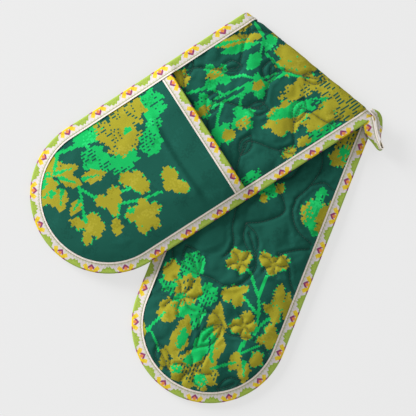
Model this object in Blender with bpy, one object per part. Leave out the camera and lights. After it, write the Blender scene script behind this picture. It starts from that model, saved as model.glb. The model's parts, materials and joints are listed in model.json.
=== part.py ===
"""A double oven glove: one quilted strip with a hand pocket at each round end.

The strip lies folded under itself at the middle. The lower leg carries the upper
leg, and both pockets are on the strip's outer face, so the upper pocket looks up
and the lower pocket lies against the table.

Every layer is drawn flat, on the strip's own coordinates, and one function lays
it down folded:
    along    distance from a leg's round tip, measured along the leg
    across   distance from the leg's centre line, positive on the hanging loop's side
    lift     height above the strip's mid-surface, positive on the pockets' side
"""
import math

import bmesh
import bpy
from mathutils import Vector

# Driving dimensions, in metres and radians.
STRIP_WIDTH = 0.180
UPPER_REACH = 0.362
LOWER_REACH = 0.405
POCKET_DEPTH = 0.224
UPPER_HEADING = math.radians(32.7)
LOWER_HEADING = math.radians(68.5)
ROLL_RADIUS = 0.009
FOLD_HEIGHT = 0.0034

# Thicknesses of the layers, and the space that touching layers keep.
GAP = 0.0003
TAPE_GAP = 0.0005
CLOTH = 0.0005
TAPE = 0.0006
TAPE_WIDTH = 0.013
CORNER = 0.0003
WADDING = 0.0036
WADDING_AT_EDGE = 0.0010
POCKET_WADDING = 0.0016
POCKET_WADDING_AT_EDGE = 0.0005
PINCH_WIDTH = 0.025

# The pocket's room for a hand, and the arch that it gives the lower leg.
POCKET_ROOM = 0.009
ROOM_START = 0.002
ROOM_RISE = 0.050
ROOM_POWER = 1.2
LOWER_EDGE_HEIGHT = 0.0055
ARCH_END = 0.234
ARCH_FADE = 0.100

# The upper leg bends down to the table past the lower leg's far edge.
BEND_START = -0.215
BEND_WIDTH = 0.195
BEND_FADE = 0.130

# The hanging loop: a folded tape standing on edge.
LOOP_LENGTH = 0.036
LOOP_HEADING = math.radians(-74.9)
LOOP_DROP = 0.007
LOOP_HALF_WIDTH = 0.0048
LOOP_HALF_ROOT = 0.0026
LOOP_TAPE_HEIGHT = 0.008
LOOP_THICKNESS = 0.0014
LOOP_PLACE = -0.0067
LOOP_CLEARANCE = 0.0030

# Mesh lines shared by all the layers, so that their facets lie parallel.
CAP_STEPS = 12
INSETS = (0.007, 0.014, 0.027, 0.050)
POCKET_ROWS = (0.130, 0.170, 0.208, POCKET_DEPTH)
REST_ROWS = 5
ROLL_STEPS = 6

# Sizes worked out from the ones above.
HALF_WIDTH = STRIP_WIDTH / 2
TRIM = TAPE + TAPE_GAP + 0.0002
SKEW = (LOWER_HEADING - UPPER_HEADING) / 2
FOLD_HEADING = (LOWER_HEADING + UPPER_HEADING) / 2
HALF_ROLL = math.pi / 2 * ROLL_RADIUS
ROLL_SLACK = (HALF_ROLL - ROLL_RADIUS) / math.cos(SKEW)
CUT = HALF_ROLL + GAP / 2
OUTWARD = Vector((math.cos(FOLD_HEADING), math.sin(FOLD_HEADING), 0))
FOLD_LINE = Vector((-math.sin(FOLD_HEADING), math.cos(FOLD_HEADING), 0))
LOWER_SIDE = Vector((math.sin(LOWER_HEADING), -math.cos(LOWER_HEADING), 0))
UP = Vector((0, 0, 1))

UPPER, LOWER = "upper", "lower"
LEG_LENGTH = {UPPER: UPPER_REACH + ROLL_SLACK, LOWER: LOWER_REACH + ROLL_SLACK}

# The colour of each kind of cloth.
TEAL = (0.012, 0.092, 0.066)
DARK_TEAL = (0.010, 0.062, 0.047)
CREAM = (0.66, 0.62, 0.56)
FELT = (0.74, 0.72, 0.66)
LINING = (0.012, 0.070, 0.052)


# ---- profiles -------------------------------------------------------------

def smooth(x):
    """A soft step from 0 at x = 0 to 1 at x = 1."""
    x = min(max(x, 0.0), 1.0)
    return x * x * (3 - 2 * x)


def plumpness(inset):
    """0 where the binding pinches the edge, 1 in the middle."""
    return smooth(inset / PINCH_WIDTH)


def half_wadding(inset):
    return (WADDING_AT_EDGE + (WADDING - WADDING_AT_EDGE) * plumpness(inset)) / 2


def pocket_wadding(inset):
    spread = POCKET_WADDING - POCKET_WADDING_AT_EDGE
    return POCKET_WADDING_AT_EDGE + spread * plumpness(inset)


def strip_face(inset):
    """Lift of the strip's outer surface."""
    return half_wadding(inset) + GAP + CLOTH


def pocket_stack(inset):
    """Lift of a flat pocket's outer surface, with no hand room in it."""
    return strip_face(inset) + 3 * GAP + 2 * CLOTH + pocket_wadding(inset)


def bulge(inset):
    """0 at the seam, 1 where the pocket stands at its full room."""
    x = min(max((inset - ROOM_START) / ROOM_RISE, 0.0), 1.0)
    return math.sin(math.pi / 2 * x) ** ROOM_POWER


LOWER_TOP = pocket_stack(HALF_WIDTH) + POCKET_ROOM


def arch(along, inset):
    """Rise of the lower leg over its own pocket."""
    fade = 1 - smooth((along - ARCH_END) / ARCH_FADE)
    edge = LOWER_EDGE_HEIGHT - FOLD_HEIGHT
    return fade * (edge + (LOWER_TOP - LOWER_EDGE_HEIGHT) * bulge(inset))


def floor_clearance(along, inset):
    """Height of the lower pocket's cloth over the table."""
    seam = 0.0017 * (1 - smooth((inset - 0.008) / 0.018))
    mouth = (TAPE + TAPE_GAP + 0.0001) * smooth((along - 0.170) / 0.038)
    return max(seam, mouth)


def room(leg, along, inset):
    """Height of the hollow that the hand goes into."""
    if leg == UPPER:
        return POCKET_ROOM * bulge(inset)
    height = FOLD_HEIGHT + arch(along, inset)
    return max(height - pocket_stack(inset) - floor_clearance(along, inset), 0.0)


def inset_of(along, across):
    """Distance in from the strip's bound edge."""
    if along >= HALF_WIDTH:
        return HALF_WIDTH - abs(across)
    return HALF_WIDTH - math.hypot(across, HALF_WIDTH - along)


# ---- laying the flat strip down folded ------------------------------------

def bend(plan, past_fold):
    """Fall of the upper leg past the lower leg's far edge."""
    side = plan.dot(LOWER_SIDE)
    flat = 1 - smooth((side - BEND_START) / BEND_WIDTH)
    return -2 * ROLL_RADIUS * flat * smooth(past_fold / BEND_FADE)


def roll_place(past, across, lift):
    """A point at a distance past the fold's crest, measured square to the fold."""
    angle = min(max(past / ROLL_RADIUS, -math.pi / 2), math.pi / 2)
    straight = abs(past - ROLL_RADIUS * angle)
    out = (ROLL_RADIUS + lift) * math.cos(angle) - straight
    height = FOLD_HEIGHT + ROLL_RADIUS - (ROLL_RADIUS + lift) * math.sin(angle)
    sideways = -past * math.tan(SKEW) - across / math.cos(SKEW)
    return OUTWARD * out + FOLD_LINE * sideways + UP * height, straight


def strip_place(leg, along, across, lift):
    """A point of a leg, folded."""
    to_fold = LEG_LENGTH[leg] - along
    signed = to_fold if leg == LOWER else -to_fold
    past = signed * math.cos(SKEW) - across * math.sin(SKEW)
    point, straight = roll_place(past, across, lift)
    if leg == LOWER:
        return point + UP * arch(along, inset_of(along, across))
    plan = Vector((point.x, point.y, 0))
    return point + UP * bend(plan, straight)


def cut_along(leg, across):
    """Where a leg ends at the roll, for a place across it."""
    lean = across * math.tan(SKEW)
    side = -lean if leg == LOWER else lean
    return LEG_LENGTH[leg] - CUT / math.cos(SKEW) + side


# ---- mesh making ----------------------------------------------------------

def path_rows(with_rest):
    """Stations around a leg's U-shaped outline, from one end to the other.

    Each station is (side, kind, value): a row of the straight part on one side, a
    row of the rest up to the fold, or an angle round the tip.
    """
    straight = [("row", row) for row in POCKET_ROWS]
    if with_rest:
        straight += [("rest", (k + 1) / REST_ROWS) for k in range(REST_ROWS)]
    arc = [("cap", math.pi * (k / CAP_STEPS - 0.5)) for k in range(CAP_STEPS + 1)]
    left = [(-1, kind, value) for kind, value in reversed(straight)]
    right = [(1, kind, value) for kind, value in straight]
    return left + [(0, kind, value) for kind, value in arc] + right


def outline_point(leg, station, inset):
    """(along, across) of a place on the outline moved in by an inset."""
    side, kind, value = station
    reach = HALF_WIDTH - inset
    if kind == "cap":
        return HALF_WIDTH - reach * math.cos(value), reach * math.sin(value)
    across = side * reach
    if kind == "row":
        return value, across
    end = cut_along(leg, across)
    return POCKET_DEPTH + value * (end - POCKET_DEPTH), across


def grid_object(name, columns, rows, place, colour, roughness):
    """A grid laid in place, closed where it meets itself, and extruded to a slab.

    place gives the point of column i and row j on the slab's face k, 0 or 1.
    """
    mesh = bpy.data.meshes.new(name)
    bm = bmesh.new()
    bmesh.ops.create_grid(bm, x_segments=columns - 1, y_segments=rows - 1, size=1)
    column = bm.verts.layers.int.new("column")
    row = bm.verts.layers.int.new("row")
    for vert in bm.verts:
        vert[column] = round((vert.co.x + 1) / 2 * (columns - 1))
        vert[row] = round((vert.co.y + 1) / 2 * (rows - 1))
        vert.co = place(vert[column], vert[row], 0)
    bmesh.ops.remove_doubles(bm, verts=bm.verts, dist=0.00001)
    slab = bmesh.ops.extrude_face_region(bm, geom=bm.faces[:])["geom"]
    for item in slab:
        if isinstance(item, bmesh.types.BMVert):
            item.co = place(item[column], item[row], 1)
    bmesh.ops.recalc_face_normals(bm, faces=bm.faces)
    bm.to_mesh(mesh)
    bm.free()
    mesh.shade_smooth()
    mesh.set_sharp_from_angle(angle=math.radians(50))
    obj = bpy.data.objects.new(name, mesh)
    PARTS.objects.link(obj)
    mesh.materials.append(make_material(name, colour, roughness))
    return obj


def make_material(name, colour, roughness):
    material = bpy.data.materials.new(name)
    material.use_nodes = True
    shader = material.node_tree.nodes["Principled BSDF"]
    shader.inputs["Base Color"].default_value = (*colour, 1)
    shader.inputs["Roughness"].default_value = roughness
    shader.inputs["Metallic"].default_value = 0.0
    return material


def leg_layer(name, leg, with_rest, lifts, colour):
    """One layer of a leg or of its pocket, between the two lifts that lifts gives."""
    stations = path_rows(with_rest)
    insets = (TRIM, *INSETS, HALF_WIDTH)

    def place(i, j, k):
        along, across = outline_point(leg, stations[j], insets[i])
        return strip_place(leg, along, across, lifts(along, insets[i])[k])

    return grid_object(name, len(insets), len(stations), place, colour, 0.9)


def channel(low, high):
    """(inset, inner lift, outer lift) round a tape that wraps what lies from low to high.

    low and high give the lifts of what the tape covers, for an inset.
    """
    points = []
    for inset in (TAPE_WIDTH, INSETS[0], TAPE + CORNER):
        covered = high(max(inset, TRIM)) + TAPE_GAP
        points.append(((inset, covered), (inset, covered + TAPE)))
    covered = high(TRIM) + TAPE_GAP
    points.append(((TAPE, covered - CORNER), (0.0, covered)))
    covered = low(TRIM) - TAPE_GAP
    points.append(((TAPE, covered + CORNER), (0.0, covered)))
    for inset in (TAPE + CORNER, INSETS[0], TAPE_WIDTH):
        covered = low(max(inset, TRIM)) - TAPE_GAP
        points.append(((inset, covered), (inset, covered - TAPE)))
    return points


def edge_binding(leg):
    """The tape that wraps a leg's edge, and its pocket's edge with it."""
    stations = path_rows(True)

    def profile(station):
        def high(inset):
            if station[1] == "rest":
                return strip_face(inset)
            along, _ = outline_point(leg, station, inset)
            return pocket_stack(inset) + room(leg, along, inset)

        return channel(lambda inset: -strip_face(inset), high)

    profiles = [profile(station) for station in stations]

    def place(i, j, k):
        inset, lift = profiles[j][i][k]
        along, across = outline_point(leg, stations[j], inset)
        return strip_place(leg, along, across, lift)

    return grid_object(f"{leg}_edge_binding", len(profiles[0]), len(stations), place, CREAM, 0.8)


def mouth_binding(leg):
    """The tape that wraps the pocket's open edge."""
    insets = (TAPE_WIDTH + 0.0020, *INSETS[2:], HALF_WIDTH)
    places = [(-1, inset) for inset in insets] + [(1, inset) for inset in insets[-2::-1]]

    def profile(inset):
        hollow = room(leg, POCKET_DEPTH, inset)
        low = strip_face(inset) + GAP + hollow
        high = pocket_stack(inset) + hollow
        return channel(lambda _: low, lambda _: high)

    profiles = [profile(inset) for _, inset in places]

    def place(i, j, k):
        side, inset = places[j]
        back, lift = profiles[j][i][k]
        along = POCKET_DEPTH + TAPE + TAPE_GAP - back
        return strip_place(leg, along, side * (HALF_WIDTH - inset), lift)

    return grid_object(f"{leg}_mouth_binding", len(profiles[0]), len(places), place, CREAM, 0.8)


def roll_columns():
    insets = (TRIM, *INSETS, HALF_WIDTH)
    left = [-(HALF_WIDTH - inset) for inset in insets]
    return left + [-across for across in left[-2::-1]]


def roll_rows():
    reach = HALF_ROLL - GAP / 2
    return [reach * (2 * k / ROLL_STEPS - 1) for k in range(ROLL_STEPS + 1)]


def roll_layer(name, lifts, colour):
    """One layer of the roll between the two legs."""
    columns, rows = roll_columns(), roll_rows()

    def place(i, j, k):
        inset = HALF_WIDTH - abs(columns[i])
        return roll_place(rows[j], columns[i], lifts(0.0, inset)[k])[0]

    return grid_object(name, len(columns), len(rows), place, colour, 0.9)


def roll_binding(name, side):
    """The tape on one edge of the roll."""
    rows = roll_rows()
    profile = channel(lambda inset: -strip_face(inset), strip_face)

    def place(i, j, k):
        inset, lift = profile[i][k]
        return roll_place(rows[j], side * (HALF_WIDTH - inset), lift)[0]

    return grid_object(name, len(profile), len(rows), place, CREAM, 0.8)


# ---- sub-parts ------------------------------------------------------------

def face_lifts(_, inset):
    return half_wadding(inset) + GAP, strip_face(inset)


def wadding_lifts(_, inset):
    return -half_wadding(inset), half_wadding(inset)


def back_lifts(_, inset):
    return -strip_face(inset), -half_wadding(inset) - GAP


STRIP_LAYERS = (
    ("face_cloth", face_lifts, TEAL),
    ("wadding", wadding_lifts, FELT),
    ("back_cloth", back_lifts, TEAL),
)


def make_leg(leg):
    """The strip's three layers from a round tip to the roll, and their binding."""
    layers = [
        leg_layer(f"{leg}_{name}", leg, True, lifts, colour)
        for name, lifts, colour in STRIP_LAYERS
    ]
    return [*layers, edge_binding(leg)]


def make_pocket(leg):
    """Lining, wadding and cloth of a pocket, and the tape round its mouth."""

    def lining_lifts(along, inset):
        low = strip_face(inset) + GAP + room(leg, along, inset)
        return low, low + CLOTH

    def pocket_wadding_lifts(along, inset):
        low = lining_lifts(along, inset)[1] + GAP
        return low, low + pocket_wadding(inset)

    def cloth_lifts(along, inset):
        high = pocket_stack(inset) + room(leg, along, inset)
        return high - CLOTH, high

    layers = (
        ("pocket_lining", lining_lifts, LINING),
        ("pocket_wadding", pocket_wadding_lifts, FELT),
        ("pocket_cloth", cloth_lifts, DARK_TEAL),
    )
    pieces = [
        leg_layer(f"{leg}_{name}", leg, False, lifts, colour) for name, lifts, colour in layers
    ]
    return [*pieces, mouth_binding(leg)]


def make_fold():
    """The strip's roll: the same three layers, and the binding on both edges."""
    layers = [roll_layer(f"fold_{name}", lifts, colour) for name, lifts, colour in STRIP_LAYERS]
    loop_side = roll_binding("fold_loop_side_binding", 1)
    plain_side = roll_binding("fold_plain_side_binding", -1)
    return [*layers, loop_side, plain_side]


def loop_root():
    return roll_place(LOOP_PLACE, HALF_WIDTH + LOOP_CLEARANCE, 0.0)[0]


def make_hanging_loop():
    """A tape standing on edge: out along one side, round the end and back."""
    ahead = Vector((math.cos(LOOP_HEADING), math.sin(LOOP_HEADING), 0))
    beside = Vector((-ahead.y, ahead.x, 0))
    root = loop_root()
    turn = LOOP_LENGTH - LOOP_HALF_WIDTH
    angles = [math.radians(30 * k) for k in range(1, 6)]
    paths = []
    for grow in (0.0, LOOP_THICKNESS):
        wide = LOOP_HALF_WIDTH + grow
        side = [(0.0, LOOP_HALF_ROOT + grow), (turn * 0.3, wide - 0.0004), (turn, wide)]
        arc = [(turn + wide * math.sin(angle), wide * math.cos(angle)) for angle in angles]
        paths.append(side + arc + [(x, -y) for x, y in reversed(side)])
    edges = (-LOOP_TAPE_HEIGHT / 2, LOOP_TAPE_HEIGHT / 2)

    def place(i, j, k):
        x, y = paths[k][j]
        drop = LOOP_DROP * smooth(x / LOOP_LENGTH)
        return root + ahead * x + beside * y + UP * (edges[i] - drop)

    return grid_object("hanging_loop", 2, len(paths[0]), place, CREAM, 0.8)


# ---- assembly -------------------------------------------------------------

def add_empty(name, parent, place):
    empty = bpy.data.objects.new(name, None)
    empty.empty_display_size = 0.02
    empty.location = place
    empty.parent = parent
    PARTS.objects.link(empty)
    return empty


def attach(objects, empty, place):
    """Parent sub-parts to an empty without moving them."""
    for obj in objects:
        obj.parent = empty
        obj.location = -place


def hinge_point(side):
    """A point of the fold's two hinge lines: side is -1 below, 1 above."""
    offset = math.pi / 4 * ROLL_RADIUS
    centre = UP * (FOLD_HEIGHT + ROLL_RADIUS)
    return centre + OUTWARD * offset + UP * (side * offset)


def pocket_hinge(leg):
    return strip_place(leg, TAPE_WIDTH, 0.0, strip_face(TAPE_WIDTH))


def centre_on_ground(root):
    """Put the object's bounding box centre over the origin, its lowest point at 0."""
    bpy.context.view_layer.update()
    graph = bpy.context.evaluated_depsgraph_get()
    points = []
    for obj in PARTS.objects:
        if obj.type == "MESH":
            solid = obj.evaluated_get(graph)
            points += [solid.matrix_world @ vert.co for vert in solid.data.vertices]
    low = Vector([min(point[k] for point in points) for k in range(3)])
    high = Vector([max(point[k] for point in points) for k in range(3)])
    root.location -= Vector(((low.x + high.x) / 2, (low.y + high.y) / 2, low.z))
    bpy.context.view_layer.update()


for old in list(bpy.data.objects):
    bpy.data.objects.remove(old, do_unlink=True)
PARTS = bpy.data.collections.new("double_oven_glove")
bpy.context.scene.collection.children.link(PARTS)

ROOT = add_empty("glove_root", None, Vector((0, 0, 0)))
BODIES = (
    ("lower_pocket_hinge", pocket_hinge(LOWER), make_pocket(LOWER)),
    ("upper_pocket_hinge", pocket_hinge(UPPER), make_pocket(UPPER)),
    ("fold_lower_hinge", hinge_point(-1), make_fold()),
    ("fold_upper_hinge", hinge_point(1), make_leg(UPPER)),
    ("loop_hinge", loop_root(), [make_hanging_loop()]),
    ("lower_leg_root", Vector((0, 0, 0)), make_leg(LOWER)),
)
for body_name, pivot, pieces in BODIES:
    attach(pieces, add_empty(body_name, ROOT, pivot), pivot)
centre_on_ground(ROOT)
for item in PARTS.objects:
    if item.type == "EMPTY":
        print(item.name, [round(c, 5) for c in item.matrix_world.translation])
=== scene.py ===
# %% [markdown]
# # A double oven glove, step by step
# This lesson dresses a finished CAD model of a double oven glove: one long quilted
# strip with a hand pocket at each round end, bound in patterned tape, and folded
# under itself at the middle. The CAD model gives every place and size. Blender gives
# it soft, sewn, printed cloth.

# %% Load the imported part
import json
import math

import bmesh
import bpy
import numpy as np
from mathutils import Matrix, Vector, noise
from mathutils.bvhtree import BVHTree
from mathutils.kdtree import KDTree


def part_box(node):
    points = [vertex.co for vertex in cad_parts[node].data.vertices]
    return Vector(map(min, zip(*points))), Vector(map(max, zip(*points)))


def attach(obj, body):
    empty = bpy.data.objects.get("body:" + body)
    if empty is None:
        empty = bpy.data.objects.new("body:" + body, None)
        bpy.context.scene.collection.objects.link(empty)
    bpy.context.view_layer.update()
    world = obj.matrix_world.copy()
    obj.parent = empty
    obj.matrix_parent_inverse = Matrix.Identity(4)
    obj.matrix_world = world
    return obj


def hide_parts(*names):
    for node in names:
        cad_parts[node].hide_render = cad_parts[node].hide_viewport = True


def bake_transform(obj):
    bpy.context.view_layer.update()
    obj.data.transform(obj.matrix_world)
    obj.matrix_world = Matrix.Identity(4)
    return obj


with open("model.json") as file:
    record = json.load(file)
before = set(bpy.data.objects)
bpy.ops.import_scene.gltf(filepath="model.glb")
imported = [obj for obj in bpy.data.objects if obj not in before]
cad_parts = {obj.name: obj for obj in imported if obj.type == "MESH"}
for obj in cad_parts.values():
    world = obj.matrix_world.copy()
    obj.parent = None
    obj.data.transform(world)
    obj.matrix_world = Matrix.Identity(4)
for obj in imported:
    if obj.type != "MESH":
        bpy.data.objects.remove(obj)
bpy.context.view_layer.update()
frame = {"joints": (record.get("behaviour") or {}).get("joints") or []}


def put_in_scene(name, data):
    """A new object at the origin that holds the data."""
    obj = bpy.data.objects.new(name, data)
    bpy.context.scene.collection.objects.link(obj)
    return obj


# %% [markdown]
# ## The flat strip and its fold
# The real glove is cut and sewn flat, and folded only at the end. Modelling it folded
# would bend every stitch by hand. So each layer is drawn flat here too, with three
# numbers: how far along a leg from its round tip, how far across from its centre
# line, and how far it lifts from the strip's middle surface. One function then lays
# the flat cloth down folded, as the CAD model does. Sizes are in metres, but the
# print, the quilting lines, the tape's pattern and the loop's path are drawn in
# millimetres.

# %% Sizes of the strip, in metres
HALF_WIDTH = 0.090
REACH = {"upper": 0.362, "lower": 0.405}
TURNED = {"upper": 1, "lower": -1}
POCKET_DEPTH = 0.224
HEADING = {"upper": math.radians(32.7), "lower": math.radians(68.5)}
HEM = 0.0135
ROLL = 0.009
FOLD_HEIGHT = 0.0034
SKEW = (HEADING["lower"] - HEADING["upper"]) / 2
COS, SIN, TAN = math.cos(SKEW), math.sin(SKEW), math.tan(SKEW)
LEG = {leg: reach + (math.pi / 2 - 1) * ROLL / COS for leg, reach in REACH.items()}
STRIP = LEG["upper"] + LEG["lower"]
MIDDLE = (HEADING["lower"] + HEADING["upper"]) / 2
OUTWARD = np.array((math.cos(MIDDLE), math.sin(MIDDLE), 0.0))
FOLD_LINE = np.array((-math.sin(MIDDLE), math.cos(MIDDLE), 0.0))
LOWER_SIDE = np.array((math.sin(HEADING["lower"]), -math.cos(HEADING["lower"]), 0.0))
UP = np.array((0.0, 0.0, 1.0))
HINGES = [np.array(j["pos_m"]) for j in frame["joints"] if j["name"].startswith("fold_")]
FOLD_CENTRE = sum(HINGES) / 2 - OUTWARD * math.pi / 4 * ROLL
FOLD_CENTRE[2] = 0.0
print("strip", round(STRIP * 1000, 1), "mm long, fold centre", FOLD_CENTRE.round(4))


# %% Thicknesses: how the layers stack up from the middle surface
EDGE_HALF = 0.0013
PUFF_REACH = 0.025
HAND_ROOM = 0.009
SEAM_RISE = 0.0055
ARCH_END, ARCH_FADE = 0.234, 0.100


def smooth(x):
    """A soft step from 0 at x = 0 to 1 at x = 1."""
    x = np.clip(x, 0.0, 1.0)
    return x * x * (3 - 2 * x)


def inset_of(along, across):
    """Distance in from the strip's bound edge, round tip included."""
    straight = HALF_WIDTH - np.abs(across)
    tip = HALF_WIDTH - np.hypot(across, HALF_WIDTH - along)
    return np.where(along >= HALF_WIDTH, straight, tip)


def strip_inset(along, across):
    """The same on the whole strip, which has a tip at both ends."""
    return inset_of(np.minimum(along, STRIP - along), across)


def strip_face(inset):
    """Half the quilted strip's thickness: cloth, a hair of air and half the wadding."""
    return EDGE_HALF + EDGE_HALF * smooth(inset / PUFF_REACH)


def pocket_stack(inset):
    """Lift of a flat pocket's outer surface, with no hand in it."""
    return strip_face(inset) + 0.0024 + 0.0011 * smooth(inset / PUFF_REACH)


def bulge(inset):
    """0 at the pocket's seam, 1 where it stands at its full room."""
    return np.sin(math.pi / 2 * np.clip((inset - 0.002) / 0.050, 0, 1)) ** 1.2


def arch(along, inset):
    """Rise of the lower leg over its own pocket."""
    top = pocket_stack(HALF_WIDTH) + HAND_ROOM
    fade = 1 - smooth((along - ARCH_END) / ARCH_FADE)
    return fade * (SEAM_RISE - FOLD_HEIGHT + (top - SEAM_RISE) * bulge(inset))


def room(leg, along, inset):
    """Height of the hollow that the hand goes into."""
    if leg == "upper":
        return HAND_ROOM * bulge(inset)
    seam = 0.0017 * (1 - smooth((inset - 0.008) / 0.018))
    floor = np.maximum(seam, 0.0012 * smooth((along - 0.170) / 0.038))
    return np.maximum(FOLD_HEIGHT + arch(along, inset) - pocket_stack(inset) - floor, 0)


# %% Lay the flat cloth down folded
# The upper leg comes down to the table where it leaves the lower one.
CLEAR_OF_LOWER, DROP_REACH, SAG_REACH = 0.215, 0.195, 0.130


def fold_down(leg, along, across, lift):
    """World places of flat points: an array of three columns."""
    along, across, lift = np.broadcast_arrays(*(np.asarray(v, float) for v in (along, across, lift)))
    sign = 1 if leg == "lower" else -1
    past = sign * (LEG[leg] - along) * COS - across * SIN
    angle = np.clip(past / ROLL, -math.pi / 2, math.pi / 2)
    straight = np.abs(past - ROLL * angle)
    out = (ROLL + lift) * np.cos(angle) - straight
    sideways = -past * TAN - across / COS
    height = FOLD_HEIGHT + ROLL - (ROLL + lift) * np.sin(angle)
    plan = out[..., None] * OUTWARD + sideways[..., None] * FOLD_LINE
    if leg == "lower":
        height = height + arch(along, inset_of(along, across))
    else:
        flat = 1 - smooth((plan @ LOWER_SIDE + CLEAR_OF_LOWER) / DROP_REACH)
        height = height - 2 * ROLL * flat * smooth(straight / SAG_REACH)
    return plan + FOLD_CENTRE + height[..., None] * UP


def crest(across):
    """Where the fold's crest crosses the strip, measured from the upper tip."""
    return LEG["upper"] + across * TAN


for leg in ("upper", "lower"):
    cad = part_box(f"{leg}_face_cloth")
    tip = fold_down(leg, 0.0013, 0.0, 0.0)
    print(leg, "tip at", tip.round(4), "in the box", [tuple(round(c, 4) for c in p) for p in cad])

# %% [markdown]
# ## Camera, floor and light
# The glove lies flat and is seen from straight above, so a long lens high over it
# keeps its outline true. A pale floor and a nearly even sky give soft light, and one
# wide lamp from the upper left lets the quilting show.

# %% Camera and floor
SPAN = 0.4738
CAMERA_HEIGHT = 2.4
FOCUS_HEIGHT = 0.012
SENSOR = 36.0
camera = put_in_scene("camera", bpy.data.cameras.new("camera"))
camera.data.sensor_width = SENSOR
camera.data.lens = SENSOR * (CAMERA_HEIGHT - FOCUS_HEIGHT) / SPAN
camera.location = (0.0, 0.0, CAMERA_HEIGHT)
bpy.context.scene.camera = camera
bpy.context.scene.view_settings.view_transform = "Standard"


def colour(red, green, blue):
    """An everyday 0 to 255 colour as the linear one that Blender works in."""
    parts = [c / 255 for c in (red, green, blue)]
    return (*[c / 12.92 if c <= 0.04045 else ((c + 0.055) / 1.055) ** 2.4 for c in parts], 1.0)


floor_mesh = bpy.data.meshes.new("floor")
floor_mesh.from_pydata([(-3, -3, 0), (3, -3, 0), (3, 3, 0), (-3, 3, 0)], [], [(0, 1, 2, 3)])
floor = put_in_scene("floor", floor_mesh)
paper = bpy.data.materials.new("pale_floor")
paper.use_nodes = True
for socket, value in (
    ("Base Color", (0.18, 0.18, 0.18, 1)), ("Roughness", 1.0), ("Specular IOR Level", 0.0),
    ("Emission Color", (1, 1, 1, 1)), ("Emission Strength", 0.635),
):
    paper.node_tree.nodes["Principled BSDF"].inputs[socket].default_value = value
floor_mesh.materials.append(paper)

# %% Sky and lamp
world = bpy.data.worlds.new("even_sky")
bpy.context.scene.world = world
world.use_nodes = True
for socket, value in (("Color", (1, 1, 1, 1)), ("Strength", 0.48)):
    world.node_tree.nodes["Background"].inputs[socket].default_value = value
for lamp_name, place, power, size in (
    ("window", (-3.6, 2.8, 1.9), 350, 2.2),
    ("fill", (1.2, -1.0, 2.2), 8, 1.8),
):
    lamp = bpy.data.lights.new(lamp_name, "AREA")
    lamp.energy = power
    lamp.size = size
    lamp_object = put_in_scene(lamp_name, lamp)
    lamp_object.location = place
    lamp_object.rotation_euler = (-Vector(place)).to_track_quat("-Z", "Y").to_euler()
print("camera lens", round(camera.data.lens, 1), "mm, view", SPAN, "m wide")

# %% [markdown]
# ## Writing materials as sums
# A pattern in a shader is a sum of simple fields: a distance, a wave, a little
# noise. Wiring a Math node for each step by hand is slow to read, so a small class
# wraps a socket and lets Python's own signs add the nodes.


# %% A socket that can be added, multiplied and compared
class Field:
    """A number that changes over the surface, as the output of a node."""

    def __init__(self, finish, socket):
        self.finish = finish
        self.socket = socket

    def maths(self, operation, *others):
        inputs = dict(enumerate((self, *others)))
        return self.finish.node("ShaderNodeMath", {"operation": operation}, inputs)

    def __add__(self, other):
        return self.maths("ADD", other)

    def __sub__(self, other):
        return self.maths("SUBTRACT", other)

    def __mul__(self, other):
        return self.maths("MULTIPLY", other)

    def __rsub__(self, other):
        return self.maths("MULTIPLY", -1.0).maths("ADD", other)

    def __abs__(self):
        return self.maths("ABSOLUTE")

    __radd__ = __add__
    __rmul__ = __mul__

    def mask(self, softness):
        """1 where the field is above 0, fading over the softness."""
        settings = {"operation": "MULTIPLY_ADD", "use_clamp": True}
        return self.finish.node("ShaderNodeMath", settings, {0: self, 1: 1 / softness, 2: 0.5})


# %% A material that takes any node
class Finish:
    """A material, its Principled shader, and one way to add any node."""

    def __init__(self, name, roughness, **steady):
        self.material = bpy.data.materials.new(name)
        self.material.use_nodes = True
        self.tree = self.material.node_tree
        self.shader = self.tree.nodes["Principled BSDF"]
        self.shader.inputs["Roughness"].default_value = roughness
        for socket, value in steady.items():
            self.shader.inputs[socket.replace("_", " ")].default_value = value

    def node(self, kind, settings=None, inputs=None, output=0):
        made = self.tree.nodes.new(kind)
        for key, value in (settings or {}).items():
            setattr(made, key, value)
        for key, value in (inputs or {}).items():
            self.feed(made.inputs[key], value)
        return Field(self, made.outputs[output])

    def feed(self, socket, value):
        if isinstance(value, Field):
            self.tree.links.new(value.socket, socket)
        else:
            socket.default_value = value

    def mix(self, share, under, over):
        """The colour under, covered by the colour over where share is 1."""
        settings = {"data_type": "RGBA"}
        return self.node("ShaderNodeMix", settings, {0: share, 6: under, 7: over}, 2)

    def shade(self, colour_field, amount):
        """A colour made lighter or darker: amount is 1 for no change."""
        grey = self.node("ShaderNodeCombineXYZ", None, {0: amount, 1: amount, 2: amount})
        return self.node("ShaderNodeVectorMath", {"operation": "MULTIPLY"}, {0: colour_field, 1: grey})

    def flat_place(self):
        """The two flat coordinates of the piece's own UV map, in millimetres."""
        uv = self.node("ShaderNodeUVMap", {"uv_map": "flat"})
        apart = self.tree.nodes.new("ShaderNodeSeparateXYZ")
        self.feed(apart.inputs[0], uv)
        return [Field(self, apart.outputs[k]) * 1000.0 for k in (0, 1)]

    def grain(self, place, scale, detail=2.0):
        """Noise of about 0 to 1 over the flat cloth, with features of 1 / scale mm."""
        where = self.node("ShaderNodeCombineXYZ", None, {0: place[0], 1: place[1], 2: 0.0})
        inputs = {"Vector": where, "Scale": scale, "Detail": detail}
        return self.node("ShaderNodeTexNoise", {"noise_dimensions": "3D"}, inputs)

    def bump(self, height, distance, strength=1.0):
        """Small relief: height times distance, in metres."""
        inputs = {"Strength": strength, "Distance": distance, "Height": height}
        self.feed(self.shader.inputs["Normal"], self.node("ShaderNodeBump", None, inputs))
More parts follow.
